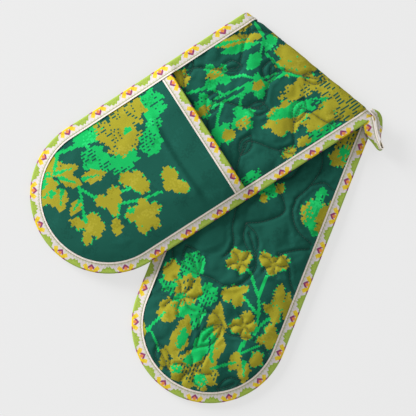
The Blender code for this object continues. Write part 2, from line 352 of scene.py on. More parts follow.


# %% [markdown]
# ## Printed cotton
# The cloth is a plain-weave cotton drill with a print whose motifs are built of small
# square cells. The print itself is a colour on each mesh cell (next step). The
# material adds what is finer than a cell: crossed threads, and threads that took a
# little more or less dye. On the quilted strip it also paints shade along the
# quilting lines, darker where the grooves would be.

# %% The finish of the printed cloth
def printed_cotton(name, quilted):
    finish = Finish(name, 0.9, Specular_IOR_Level=0.08)
    place = finish.flat_place()
    ink = finish.node("ShaderNodeAttribute", {"attribute_name": "print"})
    thread = 2 * math.pi / 0.75
    warp, weft = [(p * thread).maths("SINE") for p in place]
    weave = warp * weft
    dye = finish.grain(place, 0.9, 3.0)
    wear = finish.grain(place, 0.03, 2.0)
    shade = weave * 0.05 + dye * 0.34 + wear * 0.14 + 0.76
    relief = weave * 0.5 + dye
    if quilted:
        needle = finish.node("ShaderNodeAttribute", {"attribute_name": "needle"}, None, 2)
        pinch_and_painted_shade = (needle * needle * -0.55).maths("EXPONENT")
        hollow = (needle * needle * -0.10).maths("EXPONENT")
        # Painted shade: the cloth's colour is darkened along the quilting lines, where the grooves would lie
        # in shade. The same field also deepens the bump.
        shade = shade * (1.0 - pinch_and_painted_shade * 0.34)
        relief = relief - pinch_and_painted_shade * 4.5 - hollow * 5.5
    finish.feed(finish.shader.inputs["Base Color"], finish.shade(ink, shade))
    finish.bump(relief, 0.00010, 0.8)
    return finish.material


QUILTED_PRINT = printed_cotton("quilted_print", True)
POCKET_CLOTH = printed_cotton("pocket_cloth", False)
print("materials:", QUILTED_PRINT.name, POCKET_CLOTH.name)

# %% [markdown]
# ## The print
# The print is a folk-style pattern of generic blooms, three-lobed flowers and leaves
# on dark green, drawn in square cells like a cross-stitch chart. A texture painted by
# hand would need an image. Here a grid of cells stands for the cloth, and small
# drawing tools fill it: blobs with wavy outlines, leaves and stems. The stepped
# edges then come by themselves, in the right size.

# %% Cells and dyes
CELL = STRIP / 432
ROWS_ACROSS = 96
CELL_ACROSS = 0.0018
GROUND, EMERALD, OLIVE = 0, 1, 2
# Cells left out of a motif: every such row, a period and a longest run along it, and how crowded.
TEXTURES = {
    "dashes": (2, 5, 4, -0.1), "dots": (2, 3, 2, 0.0), "streaks": (3, 7, 6, -0.6),
    "crowded": (2, 7, 6, -1.3),
}
SPECKS_ROUND, SPECKS_WITHIN = 0.34, 0.006
ODD_TONE = 0.85
# Near enough 2 pi, for a random phase.
FULL_TURN = 6.3
DYES = np.array([
    [colour(24, 78, 66), colour(26, 84, 71), colour(28, 88, 75)],
    [colour(20, 158, 80), colour(24, 178, 91), colour(38, 198, 106)],
    [colour(144, 137, 36), colour(156, 149, 42), colour(166, 158, 50)],
])


class ClothCells:
    """A grid of square cells on a length of cloth, and the ink on each of them.

    Places are (along, across) in millimetres from the leg's tip that view() names.
    """

    def __init__(self, length, seed):
        columns = round(length / CELL)
        along = (np.arange(columns) + 0.5) * CELL * 1000
        across = ((np.arange(ROWS_ACROSS) + 0.5) - ROWS_ACROSS / 2) * CELL_ACROSS * 1000
        self.grid = np.meshgrid(along, across, indexing="ij")
        self.ink = np.full(self.grid[0].shape, GROUND)
        self.random = np.random.default_rng(seed)
        self.view(0.0, 1, 1)

    def view(self, start, ahead, side):
        """Draw from here on with along = 0 at start, and across turned over if side is -1."""
        self.along = (self.grid[0] - start) * ahead
        self.across = self.grid[1] * side

    def around(self, place, heading=0.0):
        x, y = self.along - place[0], self.across - place[1]
        c, s = math.cos(math.radians(heading)), math.sin(math.radians(heading))
        return x * c + y * s, y * c - x * s

    def runs(self, shape, every, period, longest, crowding):
        """Short runs of cells along the cloth on each row in `every`, crowded in some places."""
        column, row = np.indices(shape)
        phase = self.random.random(4) * FULL_TURN
        crowd = np.sin(column * 0.29 + phase[0] + 1.6 * np.sin(row * 0.24 + phase[1]))
        crowd += np.sin(row * 0.36 + phase[2] + 1.4 * np.sin(column * 0.21 + phase[3]))
        shifted = column + self.random.integers(0, period, shape[1])[None, :]
        length = self.random.integers(1, longest + 1, (shape[0] // period + 2, shape[1]))
        long_enough = shifted % period < length[shifted // period, row]
        return (row % every == 0) & long_enough & (crowd > crowding)

    def lay(self, ink, inside, texture=None):
        """Print the ink on the cells inside, with a texture that leaves some of them out."""
        if texture in TEXTURES:
            inside = inside & ~self.runs(inside.shape, *TEXTURES[texture])
        if texture == "specks":
            ring = inside.copy()
            for axis in (0, 1):
                for step in (1, -1):
                    ring |= np.roll(inside, step, axis)
            chance = self.random.random(inside.shape)
            self.ink[ring & ~inside & (chance < SPECKS_ROUND)] = EMERALD
        self.ink[inside] = ink
        if texture == "specks":
            self.ink[inside & (chance < SPECKS_WITHIN)] = EMERALD

    def colours(self):
        """Each cell's colour: its ink, in a light, middle or dark tone."""
        column, row = np.indices(self.ink.shape)
        patch = np.sin(column * 0.21 + 2.1 * np.sin(row * 0.13)) + np.sin(row * 0.31 + column * 0.07)
        tone = patch * 0.5 + self.random.normal(0, 0.25, self.ink.shape)
        pick = 1 + (tone > ODD_TONE).astype(int) - (tone < -ODD_TONE).astype(int)
        return DYES[self.ink, pick]

# %% The tools that draw on it
class PrintedCloth(ClothCells):
    """Ovals, flowers, leaves and stems, each drawn over what is there."""

    def blob(self, ink, place, size, texture=None, heading=0.0, waves=5):
        """A petal: an oval of half sizes size with a wavy edge."""
        x, y = self.around(place, heading)
        angle = np.arctan2(y / size[1], x / size[0])
        phase = self.random.random(2) * FULL_TURN
        edge = 1 + 0.10 * np.sin(waves * angle + phase[0]) + 0.07 * np.sin(11 * angle + phase[1])
        edge += self.random.normal(0, 0.5 / min(size), x.shape)
        self.lay(ink, np.hypot(x / size[0], y / size[1]) < edge, texture)

    def blobs(self, ink, *rows):
        """Each row: place, half sizes, then if need be texture, heading and number of waves."""
        for along, across, length, width, *rest in rows:
            self.blob(ink, (along, across), (length, width), *rest)

    def flowers(self, ink, texture, *rows):
        """Small flowers. Each row: place, size of the middle, then (heading, reach, width) a petal."""
        for along, across, middle, *petals in rows:
            x, y = self.around((along, across))
            inside = np.hypot(x, y) < middle
            for k, (heading, reach, width) in enumerate(petals):
                u, v = self.around((along, across), heading)
                u = (u - reach * 0.52) / (reach * 0.54)
                v = v / (width / 2)
                jag = 1 + 0.10 * np.sin(7 * np.arctan2(v, u) + k)
                inside |= np.hypot(u, v) < jag + self.random.normal(0, 0.06, u.shape)
            self.lay(ink, inside, texture)

    def leaf(self, ink, core, base, tip, width, texture=None):
        """A pointed leaf from base to tip, with a core of another ink in its lower half."""
        length = math.dist(base, tip)
        heading = math.degrees(math.atan2(tip[1] - base[1], tip[0] - base[0]))
        x, y = self.around(base, heading)
        part = np.clip(x / length, 0, 1)
        half = width / 2 * np.sin(math.pi * part ** 0.8) ** 0.75
        half = half * (1 + 0.14 * np.sin(part * 19 + np.sign(y)))
        half = half + self.random.normal(0, 0.5, x.shape)
        self.lay(ink, (np.abs(y) < half) & (x > 0) & (x < length), texture)
        if core is not None:
            half = width * 0.20 * (1 - part / 0.72)
            self.lay(core, (np.abs(y) < np.maximum(half, 1.0)) & (x > 0) & (x < 0.7 * length))

    def leaves(self, ink, core, *rows):
        """Each row: place of the base, place of the tip, width, and a texture if there is one."""
        for base_along, base_across, tip_along, tip_across, *rest in rows:
            self.leaf(ink, core, (base_along, base_across), (tip_along, tip_across), *rest)

    def stems(self, ink, width, *paths):
        for places in paths:
            for (ax, ay), (bx, by) in zip(places, places[1:]):
                run = np.array((bx - ax, by - ay))
                x, y = self.along - ax, self.across - ay
                part = np.clip((x * run[0] + y * run[1]) / (run @ run), 0, 1)
                self.lay(ink, np.hypot(x - part * run[0], y - part * run[1]) < width / 2)


# %% [markdown]
# A pocket shows one large cut-off bloom on one side, and a spray of small flowers on
# the other, with the cloth left plain near the mouth.


# %% The pocket's motifs
def draw_pocket(cloth):
    cloth.stems(EMERALD, 4.2, [(113, -60), (90, -66), (66, -71)])
    cloth.blobs(EMERALD,
        (187, -59, 15, 17, "streaks", 20, 7), (163, -24, 13, 15, "dots", 30, 7),
        (178, -40, 9, 10, "dots", 0, 6), (124, -24, 20, 12, "dashes", 10, 7),
        (99, -42, 15, 17, "dashes", 0, 7), (107, -71, 19, 11, "dashes", 0, 7))
    cloth.blobs(OLIVE,
        (157, -65, 23, 16, "dashes", 0, 7), (138, -42, 21, 15, "dots", 0, 7), (124, -62, 11, 13, "dashes"))
    cloth.blobs(EMERALD, (147, -50, 5, 4))
    cloth.blobs(OLIVE, (50, -65, 13, 14, "specks", 0, 6), (33, -43, 14, 19, "specks", 0, 7))
    cloth.blobs(EMERALD,
        (42, -57, 5, 3, "dots"), (34, -50, 6, 5, "dots"), (29, -37, 4, 3, "dots"), (37, -34, 4, 6, "dots"))
    cloth.stems(EMERALD, 4.2, [(66, -71), (59, -62), (51, -53)])
    cloth.stems(EMERALD, 3.2,
        [(51, -53), (56, -40), (66, -26), (74, -8)], [(67, -25), (61, -10), (53, 7)],
        [(74, -8), (89, 4), (103, 5), (117, 8)], [(89, 6), (96, 16), (121, 26), (143, 30)])
    cloth.stems(EMERALD, 3, [(96, 16), (84, 28)])
    cloth.leaves(OLIVE, EMERALD,
        (51, -53, 80, -45, 14), (74, -31, 102, -22, 15), (54, -46, 72, -25, 15), (50, -34, 33, -13, 16),
        (60, -12, 41, -3, 12))
    cloth.leaves(OLIVE, None, (84, 28, 73, 46, 13))
    cloth.flowers(OLIVE, "specks",
        (89, 6, 5.0, (-157, 16, 14), (-27, 16, 15), (103, 19, 11), (33, 13, 12)),
        (124, 4, 5.0, (-127, 17, 17), (63, 18, 17), (-40, 12, 13), (150, 8, 12)),
        (156, 28, 5.0, (-68, 19, 15), (-34, 15, 10), (48, 21, 15), (168, 8, 12)),
        (111, 42, 10, (-57, 19, 14), (3, 21, 15), (63, 21, 14), (123, 19, 16), (-137, 18, 17)),
        (54, 18, 8, (-137, 22, 12), (-27, 14, 16), (43, 17, 15), (133, 22, 11), (83, 18, 10)))
    cloth.blobs(EMERALD, (53, 10, 3, 4), (103, 30, 4, 3))


# %% The motifs between a pocket and the fold
def draw_middle(cloth):
    cloth.leaves(OLIVE, EMERALD, (283, -77, 337, -56, 14))
    cloth.leaves(EMERALD, None, (285, -66, 329, -52, 9))
    cloth.blobs(OLIVE, (323, -78, 9, 5))
    cloth.stems(EMERALD, 3.2, [(336, -80), (334, -53), (313, -34)])
    cloth.leaves(EMERALD, None, (350, -52, 327, -40, 13), (322, -42, 299, -33, 15))
    cloth.blobs(OLIVE, (362, -14, 30, 23, "specks", 15, 9), (386, -42, 20, 17, "dashes", 30, 7))
    cloth.blobs(EMERALD, (373, -20, 8, 5, "dots"))
    cloth.blobs(OLIVE, (351, -50, 7, 5))
    cloth.leaves(OLIVE, None, (346, -37, 338, -14, 9), (340, -17, 358, 15, 11, "specks"))
    cloth.stems(EMERALD, 3.2, [(327, -38), (334, -7), (351, 12)], [(332, -7), (292, -12), (244, -20)])
    cloth.stems(EMERALD, 2.5, [(326, -12), (296, -19), (250, -26)])
    cloth.stems(EMERALD, 3.2,
        [(306, -14), (292, -30), (270, -42)], [(262, -24), (251, -42), (228, -48)],
        [(284, -14), (275, -10), (267, 2)], [(256, -18), (243, -7), (235, 3)])
    cloth.flowers(EMERALD, None, (266, -46, 7, (-100, 17, 13), (-20, 16, 12), (50, 16, 12), (160, 17, 13)))
    cloth.blobs(OLIVE, (266, -50, 9, 6, "dots"))
    cloth.flowers(EMERALD, "dots",
        (236, -26, 6, (-60, 15, 12), (30, 14, 10), (110, 14, 11), (-150, 13, 12)))
    cloth.blobs(OLIVE, (232, -22, 8, 5))
    cloth.flowers(EMERALD, None, (234, 13, 6, (-30, 15, 11), (60, 14, 12), (150, 14, 10), (-110, 12, 12)))
    cloth.blobs(OLIVE, (242, 17, 8, 6))
    cloth.flowers(EMERALD, None, (264, 9, 6, (-80, 14, 11), (0, 16, 12), (75, 15, 13), (170, 14, 10)))
    cloth.blobs(OLIVE, (262, 14, 9, 6, "dots"))
    cloth.flowers(EMERALD, None, (298, -10, 5, (-60, 15, 11), (10, 13, 11), (100, 12, 12), (-150, 14, 10)))
    cloth.blobs(OLIVE, (300, -12, 7, 5), (232, -67, 9, 10, "specks"))
    cloth.blobs(EMERALD, (237, 71, 12, 6, "dots"))
    cloth.blobs(OLIVE,
        (307, 36, 24, 17, "specks", 8, 7), (339, 17, 25, 10, "dots", 10, 7),
        (338, 58, 19, 11, "specks", 0, 7), (373, 48, 25, 32, "crowded", 0, 9),
        (396, 28, 24, 20, "dots", 20, 9))
    cloth.blobs(EMERALD,
        (382, 4, 8, 7, "dashes", 0, 7), (406, 58, 16, 18, "streaks", 0, 7), (331, 72, 23, 6, "crowded"))
    cloth.leaves(EMERALD, None, (290, 26, 362, 43, 15))
    cloth.blobs(OLIVE, (289, 71, 9, 5, "specks"), (309, 69, 8, 5))
    cloth.blobs(GROUND, (345, 40, 6, 4, "dashes"))


# %% The motifs on the back of a leg
def draw_leg(cloth):
    cloth.stems(EMERALD, 3.2,
        [(98, 50), (122, 47), (139, 40), (165, 40)], [(139, 40), (161, 22), (168, 8)],
        [(120, 47), (133, 26), (133, 14)], [(98, 50), (112, 54), (128, 63)])
    cloth.stems(EMERALD, 4.2, [(50, 40), (69, 41), (98, 44)])
    cloth.stems(EMERALD, 3.2, [(69, 41), (89, 61)])
    cloth.flowers(OLIVE, "specks",
        (166, 7, 6, (-45, 19, 14), (-98, 16, 13), (10, 17, 14), (128, 8, 12)),
        (177, 41, 6, (-58, 19, 15), (46, 20, 16), (-5, 11, 12), (158, 9, 12)),
        (132, 13, 5.0, (38, 17, 9), (-111, 14, 16), (128, 13, 16), (-20, 10, 10)))
    cloth.leaves(OLIVE, None, (122, 66, 164, 58, 15, "specks"), (126, 76, 158, 71, 11))
    cloth.flowers(OLIVE, "specks",
        (130, 62, 6, (-80, 13, 11), (150, 12, 12)),
        (103, 36, 7, (-2, 18, 15), (-111, 15, 15), (148, 16, 13), (68, 14, 13)),
        (101, 68, 7, (-10, 16, 13), (-130, 14, 12), (160, 12, 12), (80, 12, 12)))
    cloth.blobs(OLIVE, (72, 63, 9, 7, "specks"))
    cloth.leaves(OLIVE, None, (72, 41, 50, 40, 14))
    cloth.leaves(OLIVE, EMERALD, (66, 50, 41, 60, 15))
    cloth.blobs(EMERALD,
        (146, -43, 16, 13, "dots", 0, 7), (119, -60, 13, 12, "dashes", 0, 7),
        (121, -16, 13, 12, "dots", 0, 7), (92, -21, 16, 11, "dashes", 15, 7), (100, -38, 14, 14))
    cloth.blobs(OLIVE,
        (118, -38, 17, 15, "dashes", 0, 7), (131, -64, 12, 9, "specks"), (88, -51, 14, 12, "dashes", 0, 7))
    cloth.blobs(EMERALD, (108, -44, 5, 4))
    cloth.stems(EMERALD, 3.2, [(84, -54), (66, -62), (50, -68)])
    cloth.leaves(OLIVE, None, (66, -76, 42, -66, 12), (52, -38, 20, -33, 9))
    cloth.blobs(OLIVE, (34, 0, 20, 30, "dots", 0, 9))
    cloth.leaves(OLIVE, None, (40, -28, 92, -27, 20))
    cloth.leaves(EMERALD, None, (52, -24, 78, -26, 10))
    cloth.blobs(EMERALD, (44, -8, 7, 6, "dots"), (27, 12, 7, 8, "dots"), (30, -18, 6, 6, "dots"))
    cloth.leaves(OLIVE, None, (40, 16, 119, 1, 27))
    cloth.leaves(EMERALD, None, (44, -2, 92, 2, 20), (50, 18, 84, 9, 9))
    cloth.stems(GROUND, 1.9, [(52, 8), (62, 10), (76, 5)])
    cloth.leaves(OLIVE, None, (52, 20, 80, 12, 4))
    cloth.stems(EMERALD, 3.2, [(44, 19), (52, 30), (60, 41)])
    cloth.stems(EMERALD, 2.5, [(40, -44), (52, -52), (60, -62)])
    cloth.blobs(OLIVE, (251, 59, 13, 9, "specks"))
    cloth.blobs(EMERALD,
        (275, 64, 8, 6, "dots", 0, 7), (252, 62, 16, 8, "dots", 0, 7), (236, 69, 10, 5, "dots", -35))
    cloth.blobs(OLIVE, (251, 78, 18, 10, "specks", 0, 7))
    cloth.blobs(EMERALD, (257, 5, 10, 11, "dots", 0, 7))
    cloth.blobs(OLIVE,
        (263, 17, 6, 5, "specks"), (246, 4, 5, 4, "specks"), (339, 70, 19, 13, "dots", 0, 7),
        (319, 66, 8, 10, "specks"), (344, 51, 10, 6, "specks"))
    cloth.blobs(EMERALD, (329, 70, 9, 6, "crowded"))


# %% Print the four cloths
strip_mm = STRIP * 1000
face_print, back_print = PrintedCloth(STRIP, 11), PrintedCloth(STRIP, 12)
for view in ((0.0, 1, 1), (strip_mm, -1, -1)):
    face_print.view(*view)
    draw_middle(face_print)
    draw_pocket(face_print)
for view in ((0.0, 1, -1), (strip_mm, -1, 1)):
    back_print.view(*view)
    draw_leg(back_print)
pocket_prints = {"upper": PrintedCloth(POCKET_DEPTH, 13), "lower": PrintedCloth(POCKET_DEPTH, 14)}
pocket_prints["lower"].view(0.0, 1, -1)
for cloth in pocket_prints.values():
    draw_pocket(cloth)
for label, cloth in (("face", face_print), ("back", back_print), *pocket_prints.items()):
    print(label, "print:", cloth.ink.shape, "cells,", round((cloth.ink > 0).mean() * 100), "% motif")

# %% [markdown]
# ## Quilting lines
# One line of stitches wanders through the cloth, the wadding and the back cloth, and
# draws leaves on the way. It pinches the strip, so the wadding stands up in soft
# islands between. The lines are kept as flat curves, because the pinch, the puffs and
# the stitches all need the same ones.


# %% Curves for the needle to follow
def curve_through(places, step=1.5):
    """A smooth line through the places, as points about step apart."""
    given = np.array(places, float)
    padded = np.vstack([2 * given[0] - given[1], given, 2 * given[-1] - given[-2]])
    line = []
    for a, b, c, d in zip(padded, padded[1:], padded[2:], padded[3:]):
        count = max(2, int(np.linalg.norm(c - b) / step))
        t = np.linspace(0, 1, count, endpoint=False)[:, None]
        cubic = (2 * b + (c - a) * t + (2 * a - 5 * b + 4 * c - d) * t ** 2)
        line.append(0.5 * (cubic + (3 * b - a - 3 * c + d) * t ** 3))
    return np.vstack([*line, given[-1:]])


def sewn_leaf(base, tip, width):
    """A leaf's outline and its middle vein, sewn from the base."""
    base, tip = np.array(base, float), np.array(tip, float)
    ahead = tip - base
    side = np.array((-ahead[1], ahead[0])) / np.linalg.norm(ahead) * width / 2
    left = [base, base + ahead * 0.28 + side * 0.8, base + ahead * 0.62 + side, tip]
    right = [base, base + ahead * 0.28 - side * 0.8, base + ahead * 0.62 - side, tip]
    vein = [base, base + ahead * 0.35 + side * 0.1, base + ahead * 0.72]
    return [curve_through(left), curve_through(right), curve_through(vein)]


def sewn_petals(place, radius, count, turn):
    """Short lines that run out from a flower's middle."""
    lines = []
    for k in range(count):
        angle = turn + 2 * math.pi * k / count
        out = np.array((math.cos(angle), math.sin(angle)))
        bow = np.array((-out[1], out[0])) * 0.12 * radius
        reaches = [out * 3, out * radius * 0.6 + bow, out * radius]
        lines.append(curve_through([np.array(place) + reach for reach in reaches]))
    return lines


# %% The lines on the lower leg, from its tip, in millimetres
SEWN_LEAVES = [
    ((138, -34), (165, -59), 20), ((181, 20), (213, -5), 15), ((96, 12), (60, -6), 17),
    ((232, -58), (262, -34), 17), ((272, 4), (300, 28), 18), ((296, -22), (330, -46), 18),
    ((334, 40), (366, 26), 18), ((352, -12), (384, -34), 18), ((24, 34), (44, 56), 15),
    ((24, -26), (48, -48), 15),
]
WANDERING = [
    [(181, 20), (168, 24), (150, 18), (138, 2), (140, -20), (138, -34)],
    [(162, -76), (150, -70), (140, -67), (126, -76)],
    [(227, -22), (214, -20), (202, -17), (184, -9), (168, -14)],
    [(213, -5), (221, 12), (238, 30), (252, 26), (272, 4)],
    [(259, 38), (244, 40), (227, 52), (217, 75)], [(194, 44), (204, 58), (212, 74)],
    [(194, 44), (186, 58), (170, 66), (158, 76)],
    [(227, -22), (234, -38), (232, -58), (216, -70), (206, -77)],
    [(227, -22), (248, -14), (262, -8), (296, -22), (306, -8), (334, -4), (352, -12)],
    [(272, 4), (284, -6), (296, -22)],
    [(259, 38), (280, 48), (306, 52), (334, 40), (350, 52), (372, 62)],
    [(300, 28), (318, 20), (340, 14), (372, 6)], [(280, 48), (288, 62), (284, 76)],
    [(262, -34), (280, -56), (300, -72), (322, -74)], [(96, 12), (104, 0), (98, -14), (80, -10)],
    [(96, 12), (88, 24), (92, 52), (84, 74)],
]
SEWN_FLOWERS = [
    ((168.0, 6.0), 15, 5, 0.3), ((180.0, 42.0), 15, 5, 0.0), ((103.0, 36.0), 15, 5, 0.5),
    ((108.0, -42.0), 24, 7, 0.2), ((36.0, 0.0), 22, 6, 0.4),
]
LOWER_LINES = [line for leaf in SEWN_LEAVES for line in sewn_leaf(*leaf)]
LOWER_LINES += [curve_through(path) for path in WANDERING]
LOWER_LINES += [line for flower in SEWN_FLOWERS for line in sewn_petals(*flower)]


# %% Leaves for the rest of the strip, on a wandering path
def wandering_leaves(first, last, seed):
    """Three uneven rows of leaves between two places along the strip, and their lines."""
    random = np.random.default_rng(seed)
    lines = []
    stops = np.arange(first, last, 37.0)
    for row in (-56.0, -3.0, 52.0):
        path = []
        for k, stop in enumerate(stops):
            base = np.array((stop, row + (9 if k % 2 else -9))) + random.normal(0, 3, 2)
            turn = (0.75 if k % 2 else -0.75) + random.normal(0, 0.25)
            tip = base + random.uniform(25, 31) * np.array((math.cos(turn), math.sin(turn)))
            lines += sewn_leaf(base, tip, random.uniform(13, 17))
            path += [base, base + np.array((17.0, (6 if k % 2 else -6) - 0.5 * row / 9))]
        lines.append(curve_through(path))
    return lines


QUILTING = [np.column_stack((strip_mm - line[:, 0], line[:, 1])) for line in LOWER_LINES]
QUILTING += wandering_leaves(16.0, 372.0, 5)
QUILTING = [line[strip_inset(line[:, 0] / 1000, line[:, 1] / 1000) > HEM] / 1000 for line in QUILTING]
QUILTING = [line for line in QUILTING if len(line) > 3]
needle = KDTree(sum(len(line) for line in QUILTING) * 2)
for line in QUILTING:
    for a, b in zip(line, line[1:]):
        needle.insert((*a, 0.0), 0)
        needle.insert((*((a + b) / 2), 0.0), 0)
needle.balance()
print(len(QUILTING), "quilting lines,", round(sum(len(line) for line in QUILTING) * 0.0015, 1), "m of sewing")


def from_needle(along, across):
    """Distance from each flat place to the nearest quilting line."""
    return np.array([needle.find((a, c, 0.0))[2] for a, c in zip(along, across)])


# %% [markdown]
# ## Padded cloth from a flat shell
# A quilted pad could be one surface with painted bumps, but its edge would look thin,
# and the puffs would not push against each other. So each pad is a closed shell, cloth
# above and below. Blender's Cloth blows it up a little while the sewn places are
# pinned, as real wadding does. The movement is capped, and one subdivision rounds it.

# %% Tools for a padded shell
COARSE = 2 * CELL
COARSE_ACROSS = 2 * CELL_ACROSS
SEAM_INSET = 0.0036


def flat_shell(name, length, tips, lifts):
    """A closed shell over the flat outline: lifts(along, across) gives its two faces."""
    columns, rows = round(length / COARSE), ROWS_ACROSS // 2
    along, across = np.meshgrid(np.arange(columns + 1) * COARSE,
                                (np.arange(rows + 1) - rows / 2) * COARSE_ACROSS, indexing="ij")
    nearest = np.minimum(along, length - along) if tips == 2 else along
    inset = inset_of(nearest, across)
    kept = inset > SEAM_INSET - 0.0001
    index = np.arange(along.size).reshape(along.shape)
    corners = [index[:-1, :-1], index[1:, :-1], index[1:, 1:], index[:-1, 1:]]
    whole = kept[:-1, :-1] & kept[1:, :-1] & kept[1:, 1:] & kept[:-1, 1:]
    faces = np.stack([c[whole] for c in corners], axis=1)
    rim = {}
    for face in faces.tolist():
        for a, b in zip(face, face[1:] + face[:1]):
            if (b, a) in rim:
                del rim[(b, a)]
            else:
                rim[(a, b)] = True
    along, across, nearest, inset = (grid.ravel() for grid in (along, across, nearest, inset))
    edge = np.unique(np.array(list(rim)).ravel())
    cap = edge[nearest[edge] < HALF_WIDTH]
    reach = HALF_WIDTH - inset[cap]
    grow = (HALF_WIDTH - SEAM_INSET) / reach
    toward_tip = np.where(along[cap] < length / 2, 1, -1) if tips == 2 else 1
    along[cap] -= toward_tip * (HALF_WIDTH - nearest[cap]) * (grow - 1)
    across[cap] *= grow
    used = np.unique(faces)
    renumber = np.full(along.size, -1)
    renumber[used] = np.arange(used.size)
    along, across = along[used], across[used]
    low, high = lifts(along, across)
    top = np.column_stack((along, across, high))
    bottom = np.column_stack((along, across, low))
    count = used.size
    faces = renumber[faces]
    walls = [(a, a + count, b + count, b) for a, b in (renumber[list(pair)] for pair in rim)]
    quads = [*faces.tolist(), *(faces[:, ::-1] + count).tolist(), *walls]
    mesh = bpy.data.meshes.new(name)
    mesh.from_pydata(np.vstack((top, bottom)).tolist(), [], quads)
    flat = mesh.uv_layers.new(name="flat")
    places = np.vstack((top, bottom))[corner_vertices(mesh), :2]
    flat.data.foreach_set("uv", places.astype(np.float32).ravel())
    return put_in_scene(name, mesh)


def vertices_of(obj):
    co = np.empty(len(obj.data.vertices) * 3, np.float32)
    obj.data.vertices.foreach_get("co", co)
    return co.reshape(-1, 3).astype(float)


def set_vertices(obj, places):
    obj.data.vertices.foreach_set("co", np.ascontiguousarray(places, np.float32).ravel())
    obj.data.update()


# %% Blow the shell up
SWELL_FRAMES = 20


def swell(obj, held, pressure, fullness, cap):
    """Blow the shell up with Cloth while the held vertices stay, and apply what it gives."""
    rest = vertices_of(obj)
    group = obj.vertex_groups.new(name="sewn")
    group.add(np.flatnonzero(held).tolist(), 1.0, "REPLACE")
    cloth = obj.modifiers.new("swell", "CLOTH")
    settings = cloth.settings
    settings.quality = 6
    settings.mass = 0.15
    settings.vertex_group_mass = "sewn"
    settings.use_pressure = True
    settings.uniform_pressure_force = pressure
    settings.shrink_min = -fullness
    settings.bending_stiffness = 0.3
    settings.effector_weights.gravity = 0.0
    cloth.point_cache.frame_start = 1
    cloth.point_cache.frame_end = SWELL_FRAMES
    cloth.collision_settings.use_collision = False
    for frame_number in range(1, SWELL_FRAMES + 1):
        bpy.context.scene.frame_set(frame_number)
    graph = bpy.context.evaluated_depsgraph_get()
    blown = np.array([v.co for v in obj.evaluated_get(graph).data.vertices], float)
    obj.modifiers.remove(cloth)
    obj.vertex_groups.remove(group)
    bpy.context.scene.frame_set(1)
    move = blown - rest
    far = np.linalg.norm(move, axis=1, keepdims=True)
    # The hyperbolic tangent lets small moves through and holds large ones to the cap.
    move *= cap * np.tanh(far / cap) / np.maximum(far, 1e-9)
    move[held] = 0.0
    set_vertices(obj, rest + move)
    print(obj.name, "swelled by up to", round(float(far.max()) * 1000, 2), "mm, kept to", cap * 1000)


def subdivided(obj):
    """The object's mesh after one subdivision, kept as plain mesh data."""
    finer = obj.modifiers.new("round", "SUBSURF")
    finer.levels = finer.render_levels = 1
    finer.uv_smooth = "NONE"
    graph = bpy.context.evaluated_depsgraph_get()
    mesh = bpy.data.meshes.new_from_object(obj.evaluated_get(graph))
    obj.modifiers.remove(finer)
    obj.data = mesh


# %% Colour its cells from the print
def corner_places(mesh):
    """Each face corner's place on the flat cloth, from the UV map."""
    uv = np.empty(len(mesh.loops) * 2, np.float32)
    mesh.uv_layers["flat"].data.foreach_get("uv", uv)
    return uv.reshape(-1, 2)


def corner_vertices(mesh):
    numbers = np.empty(len(mesh.loops), np.int32)
    mesh.loops.foreach_get("vertex_index", numbers)
    return numbers


def cloth_places(obj):
    """Each vertex's place on the flat cloth."""
    places = np.zeros((len(obj.data.vertices), 2))
    places[corner_vertices(obj.data)] = corner_places(obj.data)
    return places


def dye_cells(obj, above, below):
    """Colour each mesh cell as the cloth's print says. A print of None is plain ground."""
    mesh = obj.data
    start = np.array([p.loop_start for p in mesh.polygons])
    total = np.array([p.loop_total for p in mesh.polygons])
    middle = np.add.reduceat(corner_places(mesh), start, axis=0) / total[:, None]
    level = np.array([p.normal.z for p in mesh.polygons]) > 0
    chosen = np.empty((len(total), 4))
    for cloth, side in ((above, level), (below, ~level)):
        tones = DYES[np.zeros((2, 2), int), 1] if cloth is None else cloth.colours()
        column = np.clip((middle[side, 0] / CELL).astype(int), 0, tones.shape[0] - 1)
        row = (middle[side, 1] / CELL_ACROSS + ROWS_ACROSS / 2).astype(int)
        chosen[side] = tones[column, np.clip(row, 0, tones.shape[1] - 1)]
    layer = mesh.color_attributes.new("print", "FLOAT_COLOR", "CORNER")
    layer.data.foreach_set("color", np.repeat(chosen, total, axis=0).astype(np.float32).ravel())


# %% Finish a piece
def finish_piece(obj, material, sharp=60):
    """Turn the faces outwards, and give the piece its smooth shading and material."""
    mesh = obj.data
    mesh.calc_loop_triangles()
    corners = vertices_of(obj)[np.array([t.vertices for t in mesh.loop_triangles])]
    volume = np.einsum("ij,ij->", corners[:, 0], np.cross(corners[:, 1], corners[:, 2])) / 6
    if volume < 0:
        mesh.flip_normals()
    mesh.shade_smooth()
    mesh.set_sharp_from_angle(angle=math.radians(sharp))
    mesh.materials.clear()
    mesh.materials.append(material)
    print(obj.name, len(mesh.polygons), "faces,", round(abs(volume) * 1e6, 1), "cm3")
    return obj


def crinkle(places, seed, coarse=0.010, fine=0.0045):
    """Small uneven relief of cloth that was washed and pressed, in metres."""
    return np.array([
        0.00020 * noise.noise(Vector((a / coarse, c / coarse, seed)))
        + 0.00010 * noise.noise(Vector((a / fine, c / fine, seed + 7.0)))
        for a, c in places
    ])


# %% [markdown]
# ## The quilted strip
# The strip is blown up flat in one piece, so its puffs run on over the fold. Then it is
# grooved along the needle's path, dyed, cut in two at the fold's crest, and laid down.
# It is cut there because each half follows its own leg when the glove unfolds.


# %% Make the strip flat
NEEDLE_PINS = 0.0021
THINNEST = 0.0008
LEAST_HALF, STRETCHED_HALF, MOST_HALF = 0.0006, 0.0033, 0.0052
TABLE_GAP = 0.0002


def strip_lifts(along, across):
    half = strip_face(strip_inset(along, across))
    return -half * 0.9, half * 0.9


